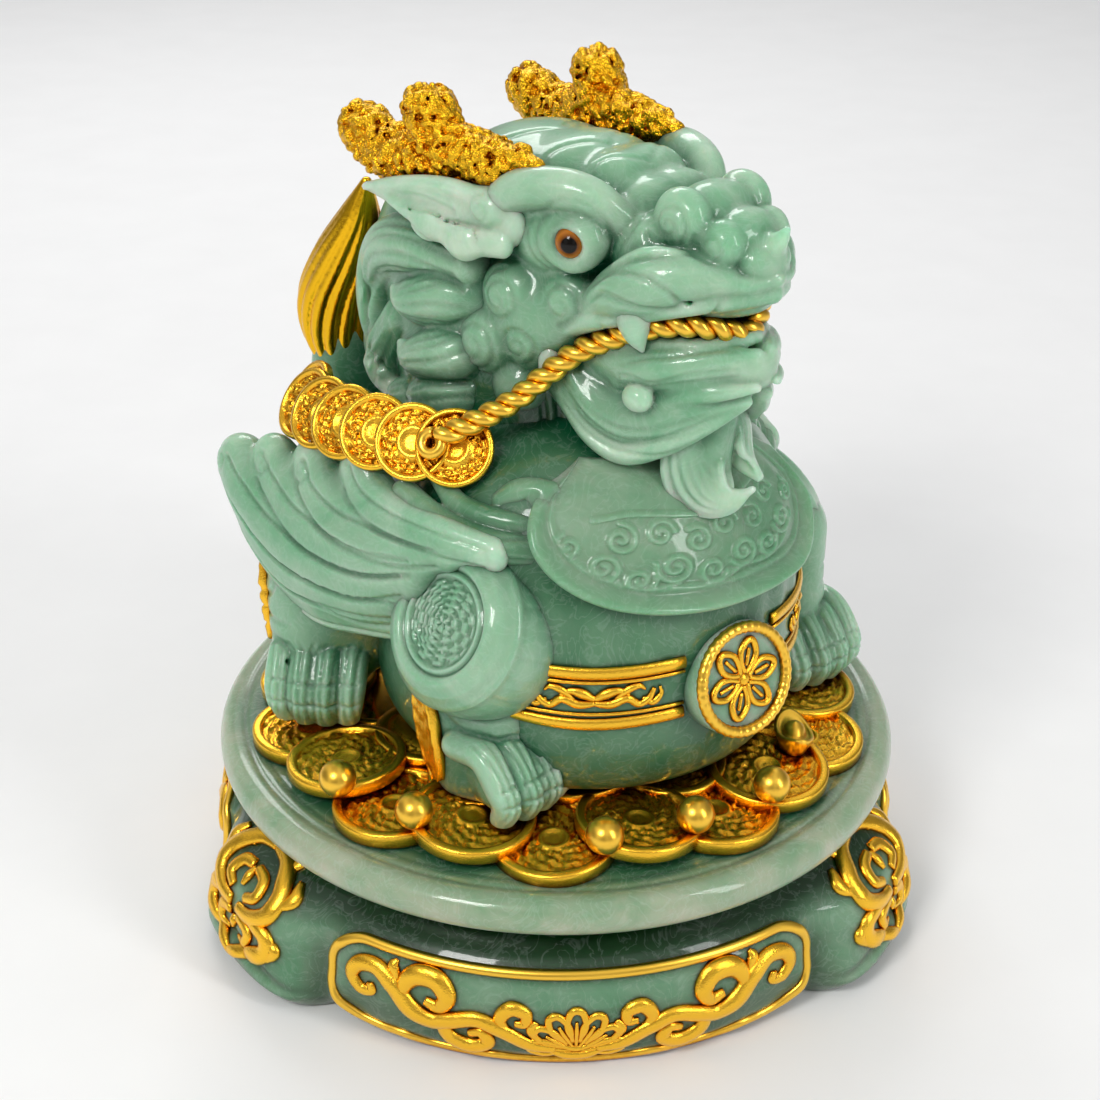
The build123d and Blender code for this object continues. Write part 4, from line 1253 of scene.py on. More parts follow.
def make_neck():
    """Neck with pleats in front, and a folded scarf edge over each shoulder."""
    clay = Clay((-40, -52, 98), (40, 52, 156), FINE)
    clay.put(strand([(-6, 0, 106, 30), (-4, 0, 126, 27), (0, 0, 150, 22)]))
    for index in range(7):
        y = -22 + 3.5 * index
        carve_line(clay, [(18 - abs(y) * 0.1, y, 118, 0.5), (20 - abs(y) * 0.3, y * 0.8, 128, 1.0),
                          (18 - abs(y) * 0.4, y * 0.7, 138, 0.6)], sides=(1,))
    ball_both(clay, (15, -32, 106), (14, 11, 9.5), 3)
    put_both(clay, [(31, -28, 112, 1.6), (27, -34, 113, 2.2), (20, -38.5, 113.5, 2.4),
                    (12, -40.5, 114.5, 2.4), (4, -39, 117, 2.0)], 1.0)
    put_both(clay, [(33, -30, 108, 2.4), (28, -36.5, 108.5, 3.4), (20, -42, 109, 3.8), (10, -45, 111, 3.6),
                    (0, -45, 114, 3.0)], 0.6)
    put_both(clay, [(30, -25, 117, 2.0), (27, -29, 118.5, 2.8), (22, -32, 118, 3.0), (19, -35, 116, 2.2)],
             0.6)
    ball_both(clay, (27, -30, 116.5), 3.6, 0.6)
    carve_curl(clay, (27, -33, 116.5), (0.4, -0.9, 0.3), 3.0, 1.4, 0.5)
    for shift in (-1.2, 1.2):
        carve_line(clay, [(33, -31, 109 + shift, 0.3), (28, -38, 109.5 + shift, 0.5),
                          (20, -44, 110 + shift, 0.5), (8, -48, 112 + shift, 0.3)], soft=0.3, lift=0.05)
    finish_clay(clay, "neck_stone", "neck", JADE_BODY)


def make_barrels():
    """Drum-shaped shoulder bosses: staves with hoops, and a ringed face of small blocks."""
    columns = 144
    t = np.linspace(0, 2 * math.pi, columns, endpoint=False)
    rings = [(0, -29), (13, -29)]
    for depth in np.linspace(-28, -1.2, 34):
        bulge = 14 + 5.4 * max(0, 1 - ((depth + 13) / 13) ** 2) ** 0.8
        hoop_rise = 0.7 * math.exp(-((depth + 4.4) / 0.9) ** 2) + 0.6 * math.exp(-((depth + 22) / 1.0) ** 2)
        stave = 0.22 * np.maximum(0, np.cos(t * 22)) ** 8 * (depth < -6)
        rings.append((bulge + hoop_rise - stave, depth))
    rings += [(13.9, -0.5), (13.2, 0.0), (12.2, 0.0), (11.7, -0.4), (11.3, -1.1), (10.9, -1.1),
              (10.5, -0.4), (10.0, -0.3), (9.5, -0.9), (9.1, -1.1)]
    for radius in np.linspace(8.8, 0.6, 30):
        blocks = np.sin(radius * 2.1 + 1.2 * np.round(np.cos(t * 2))) * np.sin(t * max(3,
                                                                                       round(radius * 1.3)))
        rings.append((radius, -0.9 + 0.28 * np.sign(blocks) * np.minimum(1, np.abs(blocks) * 3)))
    rings.append((0.0, -0.9))
    rows = [np.stack(np.broadcast_arrays(r * np.cos(t), r * np.sin(t), z), 1) for r, z in rings]
    flat = np.vstack(rows)
    lean = math.radians(28)
    out = np.array((0, -math.cos(lean), math.sin(lean)))
    across = np.array((1.0, 0, 0))
    up = np.cross(out, across)
    verts = np.array((19, -52, 93.7)) + flat[:, :1] * across + flat[:, 1:2] * up + flat[:, 2:] * out
    faces = ring_faces(len(rows), columns)
    for side, flip in SIDES:
        weld(add_mesh(f"barrel_{side}_stone", f"barrel_{side}", (verts * (1, flip, 1), faces), JADE))


WING_RIBS = [[(24, -42, 108, 4.0), (12, -46, 109, 5.0), (0, -47, 109, 6.0), (-8, -47, 111, 6.5),
              (-12, -46.5, 115, 6.0)],
             [(14, -46, 106, 4.5), (2, -48, 104, 6.5), (-12, -49, 104, 7.5), (-21, -49, 107, 7.5),
              (-26, -48, 112, 6.5)],
             [(8, -48, 102, 4.5), (-6, -50, 99, 7.0), (-22, -51, 100, 8.0), (-34, -50, 105, 7.5),
              (-39, -49.5, 109, 6.5)],
             [(6, -49, 97, 4.5), (-8, -51, 93, 7.0), (-28, -52, 94, 8.5), (-44, -51, 100, 8.5),
              (-51, -50, 104, 7.5)],
             [(4, -49, 90, 4.0), (-10, -50.5, 88, 6.5), (-28, -51.5, 87, 7.5), (-41, -51, 91, 7.0),
              (-49, -50, 96, 6.0)],
             [(2, -48, 84, 3.5), (-10, -48.5, 82, 5.0), (-24, -50, 80.5, 6.0), (-37, -50, 84, 5.5),
              (-45, -49.5, 88, 4.5)]]


def make_wings():
    """Shoulder wing: six broad swept ribs with round lobes at their ends, and fine grooves along each."""
    clay = Clay((-64, -60, 74), (30, -32, 124), FINE)
    clay.put(ball((-20, -45, 97), (33, 9, 16)), 2)
    for rib in WING_RIBS:
        clay.put(strand(rib, flat=((0, 1, 0), 0.75)), 2.6)
    for shift in (-0.45, 0.45):
        for rib in WING_RIBS:
            line = [(x, y - r * 0.5, z + shift * r, 0.30 + 0.05 * r) for x, y, z, r in rib]
            carve_line(clay, line, sides=(1,), soft=0.4, lift=0.05)
    carve_curl(clay, (-54, -54, 106), (-0.2, -1, 0.1), 4.0, 1.4, 0.5, sides=(1,))
    carve_curl(clay, (-39, -54, 111), (0, -1, 0.2), 3.8, 1.4, 0.5, start=90, sides=(1,))
    carve_curl(clay, (-26, -53, 113), (0, -1, 0.2), 3.8, 1.4, 0.5, start=90, sides=(1,))
    add_pair("wing_*_stone", clay.mesh(), JADE)


def paw(clay, base, way, half_width, high):
    """Fist-like paw: four knuckled toes side by side, each with rows of upright grooves."""
    base, way = np.array(base, float), np.array((*way, 0.0))
    way = unit(way)
    side = np.array((-way[1], way[0], 0))
    clay.put(ball((*(base + way * 4)[:2], SEAT + 7), (9, half_width - 1, 8)), 2)

    def step(ahead, across, level):
        return (*(base + way * ahead + side * across)[:2], SEAT + level)

    for index in range(4):
        across = (index - 1.5) / 1.5 * (half_width - 2.6)
        back = abs(across) * 0.22
        clay.put(strand([(*step(-4 - back, across, high - 4.5), 3.6), (*step(4 - back, across, high - 4.0),
                                                                       3.7),
                         (*step(9.4 - back, across * 1.04, high - 9.5), 3.6),
                         (*step(10.8 - back, across * 1.0, 6.0), 3.3),
                         (*step(8.6 - back, across * 0.9, 1.2), 2.8)]), 0.45)
        for shift in (-1.7, 0.0, 1.7):
            rows = [(*step(2 - back, across + shift, high - 1), 0.35),
                    (*step(8 - back, across + shift, high - 4), 0.6),
                    (*step(12 - back, across + shift, high - 9.5), 0.65),
                    (*step(13 - back, across + shift, 6), 0.6), (*step(10.5 - back, across + shift, 1.5),
                                                                 0.35)]
            carve_line(clay, rows, sides=(1,), soft=0.3, lift=0.05)
        for level in (high - 7.5, 7.0):
            ends = [(*step(13 - back, across + s, level), 0.5) for s in (-3.2, 0, 3.2)]
            carve_line(clay, ends, sides=(1,), soft=0.3, lift=0.05)


LEFT_STEP = (7, 6, 0)
LEG_STRIPS = {"front": [(10.5, -52, 76), (12.5, -53, 66), (16.5, -53, 53)],
              "rear": [(-45, -50, 86), (-46, -53, 74), (-45, -55, 62)]}


def scale_strip(clay, route):
    """Leaf-shaped gilt strip of overlapping scales with a rim, laid on a leg."""
    rows = smooth_path([(*point, 1.0) for point in route], 12)
    rows = snap(clay, rows, 0.2)
    centre = rows[:, :3]
    out = uphill(clay, centre)
    out = out * 0.35 + out.mean(0) * 0.65
    out = unit(out)
    way = np.gradient(centre, axis=0)
    way = unit(way)
    side = np.cross(way, out)
    part = np.linspace(0, 1, len(rows))
    wide = 4.6 * np.sin(np.pi * (0.08 + 0.86 * part)) ** 0.6
    across = np.linspace(-1, 1, 25)
    u, t = np.meshgrid(across, part * 6.0)
    crest = np.mod(t - 0.55 * (1 - u ** 2), 1.0)
    height = 0.75 + 0.55 * crest * (1 - u ** 4) + 0.5 * np.exp(-((np.abs(u) - 0.86) / 0.12) ** 2)
    height = height * (1 - 0.9 * np.abs(u) ** 14)
    middle = centre[:, None] + side[:, None] * (wide[:, None] * u)[..., None]
    return shell_mesh(middle + out[:, None] * height[..., None], middle - out[:, None] * 1.2)


def make_legs():
    """Short columns with paws; the rear pair have round haunches with a carved curl."""
    front = Clay((4, -60, SEAT), (52, -24, 96), FINE)
    front.put(strand([(22, -38, 86, 11), (22, -39, 74, 10.5), (23, -40, 64, 10), (24, -40, 56, 9.5)]), 2)
    front.put(strand([(14, -41, 86, 9), (14, -42.5, 74, 8.5), (15.5, -43, 62, 8.2), (18, -43, 54, 8)]), 3)
    paw(front, (27, -41, 0), (1, 0.05), 11.0, 19.0)
    for index in range(3):
        z = 80 - 5.0 * index
        carve_line(front, [(16, -46, z, 0.4), (24, -48, z - 2.5, 0.8), (33, -42, z - 2, 0.5)], sides=(1,),
                   soft=0.5)
    rear = Clay((-60, -66, SEAT), (-4, -20, 104), FINE)
    rear.put(ball((-34, -36, 78), (21, 16, 25)), 2)
    rear.put(strand([(-34, -42, 80, 13), (-33, -45, 68, 11), (-30, -46, 58, 10)]), 3)
    paw(rear, (-29, -47, 0), (0.62, -0.78), 10.5, 20.0)
    carve_curl(rear, (-40, -50, 82), (-0.2, -1, 0.1), 8, 1.7, 0.8)
    for index in range(3):
        z = 74 - 5 * index
        carve_line(rear, [(-52, -44, z, 0.5), (-42, -56, z - 2, 0.8), (-30, -56, z - 1, 0.5)], sides=(1,),
                   soft=0.5)
    strips = []
    for clay, place in ((front, "front"), (rear, "rear")):
        clay.trim(lambda x, y, z: SEAT - z + 0 * x + 0 * y)
        leg = clay.mesh()
        strip = scale_strip(clay, LEG_STRIPS[place])
        for side, flip in SIDES:
            step = LEFT_STEP if (place, side) == ("front", "left") else (0, 0, 0)
            add_mesh(f"leg_{place}_{side}_stone", f"leg_{place}_{side}", mirrored(leg, flip, step), JADE)
            strips.append(mirrored(strip, flip, step))
    weld(add_mesh("leg_scale_gilt", "leg_scales", join(strips), GOLD))


# ---- head ----
def make_head():
    """Smooth skull, brows, round cheeks, and the upper jaw with nose lobes, upturned tip and leafy lip."""
    clay = Clay((-28, -33, 132), (63, 33, 191), BROAD)
    clay.put(ball((2, 0, 161), (25, 21, 21.5)))
    clay.put(strand([(18, 0, 164, 14), (34, 0, 166, 11), (47, 0, 168, 8.5)]), 3)
    ball_both(clay, (14, -12.5, 168), (12, 11, 10), 3)
    ball_both(clay, (9, -13, 150), (17, 12.5, 13), 3)
    ball_both(clay, (34, -8.5, 168), (9, 7.5, 8), 2.5)
    ball_both(clay, (44, -6, 168), (8, 6, 6), 2)
    clay.put(ball((-7, 0, 171), (18, 21, 12)), 3)
    clay.put(ball((8, 0, 175), (12, 16, 9)), 3)
    ball_both(clay, (20, -4, 176), (8, 9, 7.5), 2.5)
    ball_both(clay, (29, -4, 174), (6.5, 8, 6.5), 2.0)
    put_both(clay, [(4, -25, 172, 3.0), (10, -22.5, 177, 4.2), (18, -19, 178.5, 4.4), (25, -16, 177.5, 4.0),
                    (30, -13, 174, 3.0)], 2.2)
    clay.put(ball((42, 0, 175), (7.2, 10.5, 7.0)), 1.5)
    clay.put(ball((50.5, 0, 173), (5.6, 8.0, 5.6)), 1.2)
    clay.put(ball((55.5, 0, 169.5), (4.4, 6.2, 4.6)), 1.2)
    ball_both(clay, (42, -8.6, 176), (6.4, 4.8, 6.4), 0.6)
    ball_both(clay, (50.5, -6.4, 172.8), (4.8, 4.2, 4.8), 0.6)
    ball_both(clay, (36.0, -10.5, 171.0), (5.0, 4.6, 5.0), 1.2)
    clay.put(strand([(50, 0, 171, 5), (56, 0, 172, 3.2), (59, 0, 174.2, 1.8), (60.8, 0, 177, 0.7)]), 1.0)
    put_both(clay, [(46, -11.5, 170, 1.0), (51, -10, 167.5, 1.7), (56, -6.5, 166.0, 1.8),
                    (59, 0, 166.5, 1.6)], 0.6)
    put_both(clay, [(27, -16.5, 156, 3.5), (33, -16.5, 160.5, 5.4), (40, -15, 164.5, 6.4),
                    (47, -12, 166.5, 4.8), (53, -8, 166.5, 3)], 0.9)
    put_both(clay, [(15, -20, 146, 1.2), (22, -19, 150.5, 2.0), (29, -18.5, 154.5, 2.4),
                    (35, -17.5, 157, 2.5), (42, -15, 159.5, 2.5), (49, -11, 161.5, 2.3), (55, -6, 163, 2.2),
                    (58, 0, 163.5, 2.1)], 0.7)
    put_both(clay, [(30, -17.6, 160, 1.0), (34, -18, 166, 1.5), (40, -16.6, 170.2, 1.7),
                    (46, -13.6, 170.8, 1.4), (50, -11, 168.5, 1.0)], 0.6)
    clay.put(ball((36, 0, 161), (21, 13, 6)), 1.5)
    clay.put(ball((46, 0, 163.5), (12, 9, 4)), 1.5)
    ball_both(clay, (7.5, -19.5, 154.5), (8.2, 7.0, 7.8), 0.8)
    ball_both(clay, (20, -16.5, 156), (6.6, 6.0, 6.4), 1.2)
    ball_both(clay, (2, -21.5, 143.5), (7.8, 7.0, 8.0), 0.8)
    ball_both(clay, (12, -19.5, 145.5), (6.8, 5.6, 6.6), 1.4)
    ball_both(clay, (8.5, -20, 134.5), (6.4, 5.6, 6.4), 1.2)
    ball_both(clay, (23.4, -17, 169.5), (6.2, 6.4, 5.6), 0.6)
    ball_both(clay, (24.4, -23.6, 169.2), (4.6, 3.4, 3.6), 0.6, cut=True)
    put_both(clay, hoop((23, -19.4, 169.5), (0.35, -0.9, 0.15), 5.2, 1.5), 1.6, per_span=1)
    clay.put(ball((37, 0, 153), (20, 10.5, 6.0)), 1.0, cut=True)
    for radius in (7.0, 9.2):
        for flip in (1, -1):
            ring = hoop((22.4, -20 * flip, 169.4), (0.32, -0.93 * flip, 0.12), radius, 0.45, -80, 250)
            clay.put(strand(snap(clay, ring, 0.1), per_span=1), 0.4, cut=True)
    for centre, normal, radius, turns, start in (((7.5, -24, 154.5), (0.2, -1, 0.1), 5.6, 1.9, 0),
                                                 ((21, -20, 156), (0.3, -1, 0.0), 4.2, 1.6, 180),
                                                 ((2, -26, 143.5), (0, -1, -0.1), 5.8, 1.9, 90),
                                                 ((12, -23, 145.5), (0.1, -1, 0.1), 4.4, 1.6, 200),
                                                 ((42, -13, 176), (0.3, -1, 0.25), 5.0, 1.9, 120),
                                                 ((50.5, -10.5, 172.8), (0.3, -1, 0.2), 3.6, 1.6, 60)):
        carve_curl(clay, centre, normal, radius, turns, 0.75, start)
    for x, reach in ((-6, 12), (8, 11), (20, 9)):
        carve_line(clay, [(x + 5, -reach - 4, 176, 0.3), (x - 1, -reach, 180, 0.45), (x + 2, -5, 184, 0.45),
                          (x + 6, 0, 184, 0.3)], soft=0.8, lift=0.2)
    for shift in (0.0, 2.1, 4.2):
        carve_line(clay, [(28, -19, 157.5 + shift, 0.3), (34, -18, 161.5 + shift, 0.8),
                          (41, -16, 163.5 + shift, 0.8), (47, -12, 164.5 + shift * 0.6, 0.4)], soft=0.6,
                   lift=0.1)
    for shift in range(5):
        carve_line(clay, [(31 + 5 * shift, -18.5 + 2.2 * shift, 154.5 + 1.2 * shift, 0.3),
                          (32 + 5 * shift, -18.5 + 2.2 * shift, 157.2 + shift, 0.7),
                          (34 + 5 * shift, -17 + 2.2 * shift, 160 + shift, 0.3)], soft=0.3, lift=0.1)
    for shift in (0.0, 2.4):
        carve_line(clay, [(33 - shift, -9, 179, 0.4), (35 - shift, -12, 174, 0.5),
                          (32 - shift, -15, 169, 0.5), (30 - shift, -17, 165, 0.3)], soft=0.4, lift=0.1)
    finish_clay(clay, "head_stone", "head", JADE)


def make_lower_jaw():
    """Open scoop with a tongue groove, a double rolled frill and leaves along its edge."""
    clay = Clay((-2, -24, 118), (62, 24, 160), FINE)
    clay.put(strand([(12, 0, 138, 16), (26, 0, 140, 14.5), (40, 0, 143.5, 11.5), (52, 0, 148, 7.0)]), 2)
    put_both(clay, [(14, -14, 143, 7), (22, -13, 137, 8), (30, -12, 133.5, 8), (38, -10, 134.5, 7.5),
                    (46, -7, 139.5, 6)], 2)
    clay.put(ball((34, 0, 154), (26, 10, 6.5)), 1.0, cut=True)
    put_both(clay, [(17, -19, 142, 1.8), (22, -19, 135, 2.0), (28, -18.5, 129.5, 2.4),
                    (35, -16.5, 126.8, 2.6), (42, -13.5, 129.5, 2.6), (49, -9, 134.5, 2.2),
                    (55, -3, 140.5, 1.8)], 1.6)
    put_both(clay, [(22, -19, 142, 1.4), (28, -19, 135.5, 1.7), (35, -17, 132.0, 1.8),
                    (43, -13.5, 134, 1.8), (50, -8.5, 138.5, 1.6), (56, -2, 144.5, 1.3)], 1.2)
    put_both(clay, [(33, -15.5, 141.5, 1.6), (40, -14.5, 146, 3.0), (47, -11, 148.5, 2.6),
                    (53, -7, 150, 1.8), (57, -2, 151, 1.2)], 1.2)
    put_both(clay, [(43, -13.5, 139.5, 1.2), (48, -11, 142, 2.2), (54, -7.5, 143.6, 1.8),
                    (58.5, -3, 144.5, 0.9)], 0.8)
    put_both(clay, [(40, -14, 135.5, 1.0), (46, -11.5, 137.6, 1.8), (52, -7.5, 139.6, 1.5),
                    (56.5, -3, 141.0, 0.8)], 0.8)
    put_both(clay, [(24, -16.5, 147, 2.2), (32, -15, 149.5, 2.0), (41, -12, 151, 1.8), (49, -8, 152, 1.5),
                    (54, -1, 153, 1.4)], 0.8)
    put_both(clay, [(26, -13, 145, 5), (36, -12.5, 145.5, 5.5), (46, -9, 147, 5), (53, -4.5, 148.5, 3.5)],
             1.5)
    ball_both(clay, (39.5, -17, 140.5), (3.4, 2.8, 3.0), 0.6)
    clay.put(strand([(16, 0, 147, 6), (30, 0, 148, 6), (44, 0, 150, 4.5), (52, 0, 152.5, 2.5)],
                    flat=((0, 0, 1), 0.6)), 0.8)
    carve_line(clay, [(14, 0, 153, 0.5), (30, 0, 154, 0.8), (46, 0, 155, 0.5)], sides=(1,), soft=0.4)
    for shift in (0, 1.6, 3.2):
        carve_line(clay, [(35, -16, 143 + shift, 0.3), (42, -14, 144.5 + shift, 0.5),
                          (49, -10, 146.5 + shift, 0.45), (55, -5, 147.5 + shift, 0.3)], soft=0.35,
                   lift=0.1)
    for shift in (0, 1.8, 3.6, 5.4):
        carve_line(clay, [(22, -21, 141 - shift, 0.3), (29, -20, 135.5 - shift, 0.5),
                          (36, -17.5, 133 - shift, 0.5), (44, -13.5, 135 - shift, 0.45),
                          (51, -9, 139 - shift, 0.3)], soft=0.35, lift=0.1)
    finish_clay(clay, "lower_jaw_stone", "lower_jaw", JADE)


def make_beard():
    """Chin tuft of ridged strands that turns up at its tip."""
    clay = Clay((34, -18, 110), (68, 16, 146), FINE)
    clay.put(strand([(43, 0, 139, 7), (45, -2, 130, 6), (46.5, -3, 123, 5), (50, -3, 120, 3.2)]), 1.0)
    route = [(45, -9, 137, 4.6), (46, -9.5, 131, 5.2), (47, -9, 124.5, 5.4), (50, -7.5, 120.6, 4.8),
             (55, -5.5, 119.6, 3.4), (60, -4, 123, 1.4)]
    lock(clay, route, 13.0, 7, out=(0.7, -0.7, 0), sides=(1,), arch=0.3, fill=0.6)
    lock(clay, [(47, 5, 138, 4.6), (48.5, 6, 131, 5.4), (50, 6, 125, 5), (54, 5.5, 121, 3)], 11.0, 6,
         out=(0.8, 0.6, 0), sides=(1,), arch=0.3, fill=0.6)
    finish_clay(clay, "beard_stone", "chin_beard", JADE)


MANE_LEAVES = [[(-4, -23, 158, 5), (-16, -24, 159, 7.0), (-27, -23, 156, 7.0), (-34, -21, 149, 6.4),
                (-36, -20.5, 141, 6.0), (-34, -22, 134, 4.5), (-29, -24, 130.5, 2.0)],
               [(-3, -22, 151, 5.5), (-8, -24.5, 150.5, 7.0), (-13, -26.5, 149.0, 6.0),
                (-18, -28.5, 148.0, 3.6), (-21, -29.5, 149.6, 1.2)],
               [(-3, -22, 140, 5.5), (-6, -25.5, 138.5, 7.0), (-11, -28, 137, 5.6),
                (-15.5, -29.5, 136.0, 3.4), (-18.5, -30, 138, 1.2)],
               [(-3, -22, 130, 5.0), (-6, -25.5, 129.5, 6.4), (-11, -27.5, 128, 5.0),
                (-15, -28.5, 127, 3.0), (-18, -28.5, 128.6, 1.2)],
               [(-24, -24, 141, 5.0), (-28, -23.5, 135, 5.6), (-31, -24, 130, 5.4), (-30, -25, 125, 3.4),
                (-26, -26.5, 123, 1.6)],
               [(-16, -26, 126, 4.5), (-21, -26.5, 124, 4.5), (-26, -26, 121, 3.0)]]


def make_mane():
    """Large smooth locks like overlapping leaves, their tips curled back, with fine lines along each."""
    clay = Clay((-50, -37, 110), (16, 37, 182), BROAD)
    clay.put(ball((-16, 0, 147), (26, 28.5, 31)), 1)
    clay.put(ball((-12, 0, 131), (28, 29, 19)), 5)
    clay.put(ball((-5, 0, 146), (16, 27.5, 22)), 3)
    for route in MANE_LEAVES:
        put_both(clay, route, 0.5)
    for y, level in ((0, 0), (-10, -2), (10, -2)):
        clay.put(strand([(-14, y, 172 + level, 6), (-28, y, 168 + level, 8), (-38, y, 156 + level, 8),
                         (-41, y, 142 + level, 7), (-39, y, 132 + level, 4.5), (-34, y, 127 + level, 2)]),
                 0.5)
    for y in (-5, 5, -15, 15):
        clay.put(strand([(-32, y, 140, 7), (-39, y, 131, 7), (-40, y, 124, 5.5), (-35, y, 118, 3)]), 0.5)
    for route in MANE_LEAVES:
        for share in (-0.7, -0.35, 0.0, 0.35, 0.7):
            line = [(x, y - 0.6 * r, z + share * r, 0.36 + 0.05 * r) for x, y, z, r in route]
            carve_line(clay, line, soft=0.5, lift=0.15)
    for y in (-13, -10, -7, -3, 0, 3, 7, 10, 13):
        carve_line(clay, [(-20, y, 178, 0.3), (-34, y, 170, 0.6), (-46, y, 156, 0.7), (-48, y, 142, 0.7),
                          (-43, y, 130, 0.4)], sides=(1,), soft=0.4, lift=0.1)
    finish_clay(clay, "mane_stone", "mane", JADE)


def make_ears():
    """Leaf-shaped ear swept back, with a fold and a curl at its root."""
    clay = Clay((-30, -36, 160), (14, -18, 180), FINE)
    clay.put(strand([(8, -23, 170, 5), (-5, -27, 171, 5.4), (-16, -29.5, 171.5, 4.0), (-27, -31, 171, 1.0)],
                    flat=((0, 1, 0.2), 0.55)))
    clay.put(strand([(8, -25, 166, 3), (0, -28, 166, 3.2), (-8, -30, 167.5, 2.5), (-20, -31.5, 170, 0.9)],
                    flat=((0, 1, 0), 0.7)), 0.6)
    clay.put(strand([(6, -25, 174.5, 1.8), (-4, -28.5, 176, 1.7), (-15, -30.5, 174.5, 1.5),
                     (-27, -31.5, 171, 0.8)]), 0.5)
    clay.put(strand([(-2, -31.5, 171, 2.6), (-10, -32.4, 171.6, 2.4), (-18, -32.2, 171.4, 1.0)]), 0.6,
             cut=True)
    clay.put(ball((-9, -29.5, 167), (5, 2.6, 3.6)), 1.2)
    clay.put(ball((0, -28, 165.2), (5, 3, 4.0)), 1.2)
    clay.put(ball((5, -25, 173), (5, 4, 4.2)), 1.2)
    carve_curl(clay, (5, -28, 173), (0.2, -1, 0.2), 3.2, 1.5, 0.45, sides=(1,))
    for shift in (0.0, 1.6, 3.2):
        carve_line(clay, [(4, -27, 169 - shift, 0.3), (-5, -29, 168.4 - shift * 0.9, 0.45),
                          (-14, -30.5, 169.4 - shift * 0.6, 0.4), (-21, -31, 170.4 - shift * 0.3, 0.25)],
                   sides=(1,), soft=0.3, lift=0.05)
    add_pair("ear_*_stone", clay.mesh(), JADE)


FANGS = [[(36.5, -14.0, 160.5, 5.2), (37.4, -16.2, 157.0, 4.2), (38.6, -16.8, 153.4, 2.6),
          (39.6, -16.0, 150.0, 0.4)],
         [(45, -8.6, 160, 1.9), (45.4, -8.8, 157.6, 1.5), (45.8, -8.8, 155.6, 0.4)],
         [(29, -14, 156, 2.0), (29.4, -14.6, 153.4, 1.5), (29.8, -14.6, 151.6, 0.4)],
         [(18, -19.5, 146, 2.6), (18.4, -21.4, 143, 2.2), (17.6, -22.4, 139, 0.6)]]


def make_fangs():
    """Curved teeth on both sides; rows are (x, y, z, radius)."""
    parts = []
    for flip in (1, -1):
        for route in FANGS:
            rows = smooth_path([(x, y * flip, z, r) for x, y, z, r in route], 6)
            parts.append(tube(rows[:, :3], rows[:, 3], 16))
    add_mesh("fang_stones", "fangs", join(parts), JADE)


def make_eyes():
    """Domed cabochons set in the sockets."""
    reach = 3.4
    look = turned(np.array([(0.55, -0.80, 0.05), (0.55, 0.80, 0.05)]))
    centres = [centre_mm(f"eye_{side}") for side, _ in SIDES]
    pupils = [(centre + unit(way) * reach) * MM for centre, way in zip(centres, look)]
    material = amber("amber_glass", pupils)
    for (side, _), centre in zip(SIDES, centres):
        weld(add_mesh(f"eye_{side}_glass", f"eye_{side}", sphere_mesh(centre, reach, 48), material,
                      "turntable"))


# ---- gilt pieces of the beast ----
def make_antlers():
    """Knobbly gilt antlers with granular skin and two blunt tines."""
    clay = Clay((-44, -34, 170), (14, -12, 199), 0.45)
    clay.put(strand([(13, -20, 182, 1.8), (6, -20.5, 182, 3.0), (-3, -21.5, 181, 4.6),
                     (-13, -22.5, 179.4, 6.0), (-22, -23.5, 177, 6.0), (-29, -24, 177.0, 5.2),
                     (-34, -24, 179.2, 5.0), (-36.5, -24, 180.6, 4.6)]), 0.8)
    clay.put(strand([(-11, -22.5, 180, 5.8), (-13.5, -23.5, 185.5, 5.0), (-14.8, -24, 188.2, 4.6)]), 1.2)
    clay.put(ball((-15.0, -24, 188.4), 4.9), 0.6)
    clay.put(ball((0, -22, 179.5), (7, 3.6, 3.2)), 1.0)
    rng = np.random.default_rng(5)
    spots = rng.uniform((-42, -30, 172), (10, -14, 196), (2600, 3))
    spots = np.hstack([spots, rng.uniform(0.6, 1.25, (2600, 1))])
    keep = np.abs(sample(clay, spots[:, :3])) < 6
    spots = snap(clay, spots[keep], 0.1)
    near = np.abs(sample(clay, spots[:, :3])) < 0.8
    for index, (x, y, z, r) in enumerate(spots[near][:1500]):
        clay.put(ball((x, y, z), r * (0.7 if index % 3 == 0 else 1)), 0.2, index % 3 == 0)
    add_pair("antler_*_gilt", clay.mesh(), GOLD_ROUGH)


STRING_ROUTE = [(8, -38, 125), (0, -42.5, 125), (-9, -45, 125), (-18, -46, 124.5), (-27, -45.5, 123.5),
                (-36, -43, 122), (-43, -37, 120)]


def coin_at(centre, face, radius, thick, seed):
    """Coin with its face towards a direction."""
    verts, faces = coin_mesh(radius, thick, seed, 1.5)
    out = np.array(face, float)
    out = unit(out)
    across = np.cross((0, 0, 1.0), out)
    across = unit(across)
    up = np.cross(out, across)
    spot = np.array(centre) + verts[:, :1] * across + verts[:, 1:2] * up
    return spot + (verts[:, 2:] - thick / 2) * out, faces


def make_coin_strings():
    """Seven overlapping coins on each side of the neck, the first with the rope's knot."""
    parts = []
    for index, spot in enumerate(STRING_ROUTE):
        face = (0.35 + (0.45 - 0.22 * index) * 0.8, -0.85, 0.62)
        parts.append(coin_at(spot, face, 8.3, 2.4, 500 + index))
    for side, flip in SIDES:
        weld(add_mesh(f"coin_string_{side}_gilt", f"coin_string_{side}", mirrored(join(parts), flip), GOLD))


ROPE_HALF = [(7, -41, 128), (11, -36, 131), (16, -29, 135.5), (20, -23.5, 141), (25, -19.8, 146.5),
             (32, -17, 151), (39, -14.5, 154.5), (45, -11, 156), (49.5, -6.5, 155.5)]


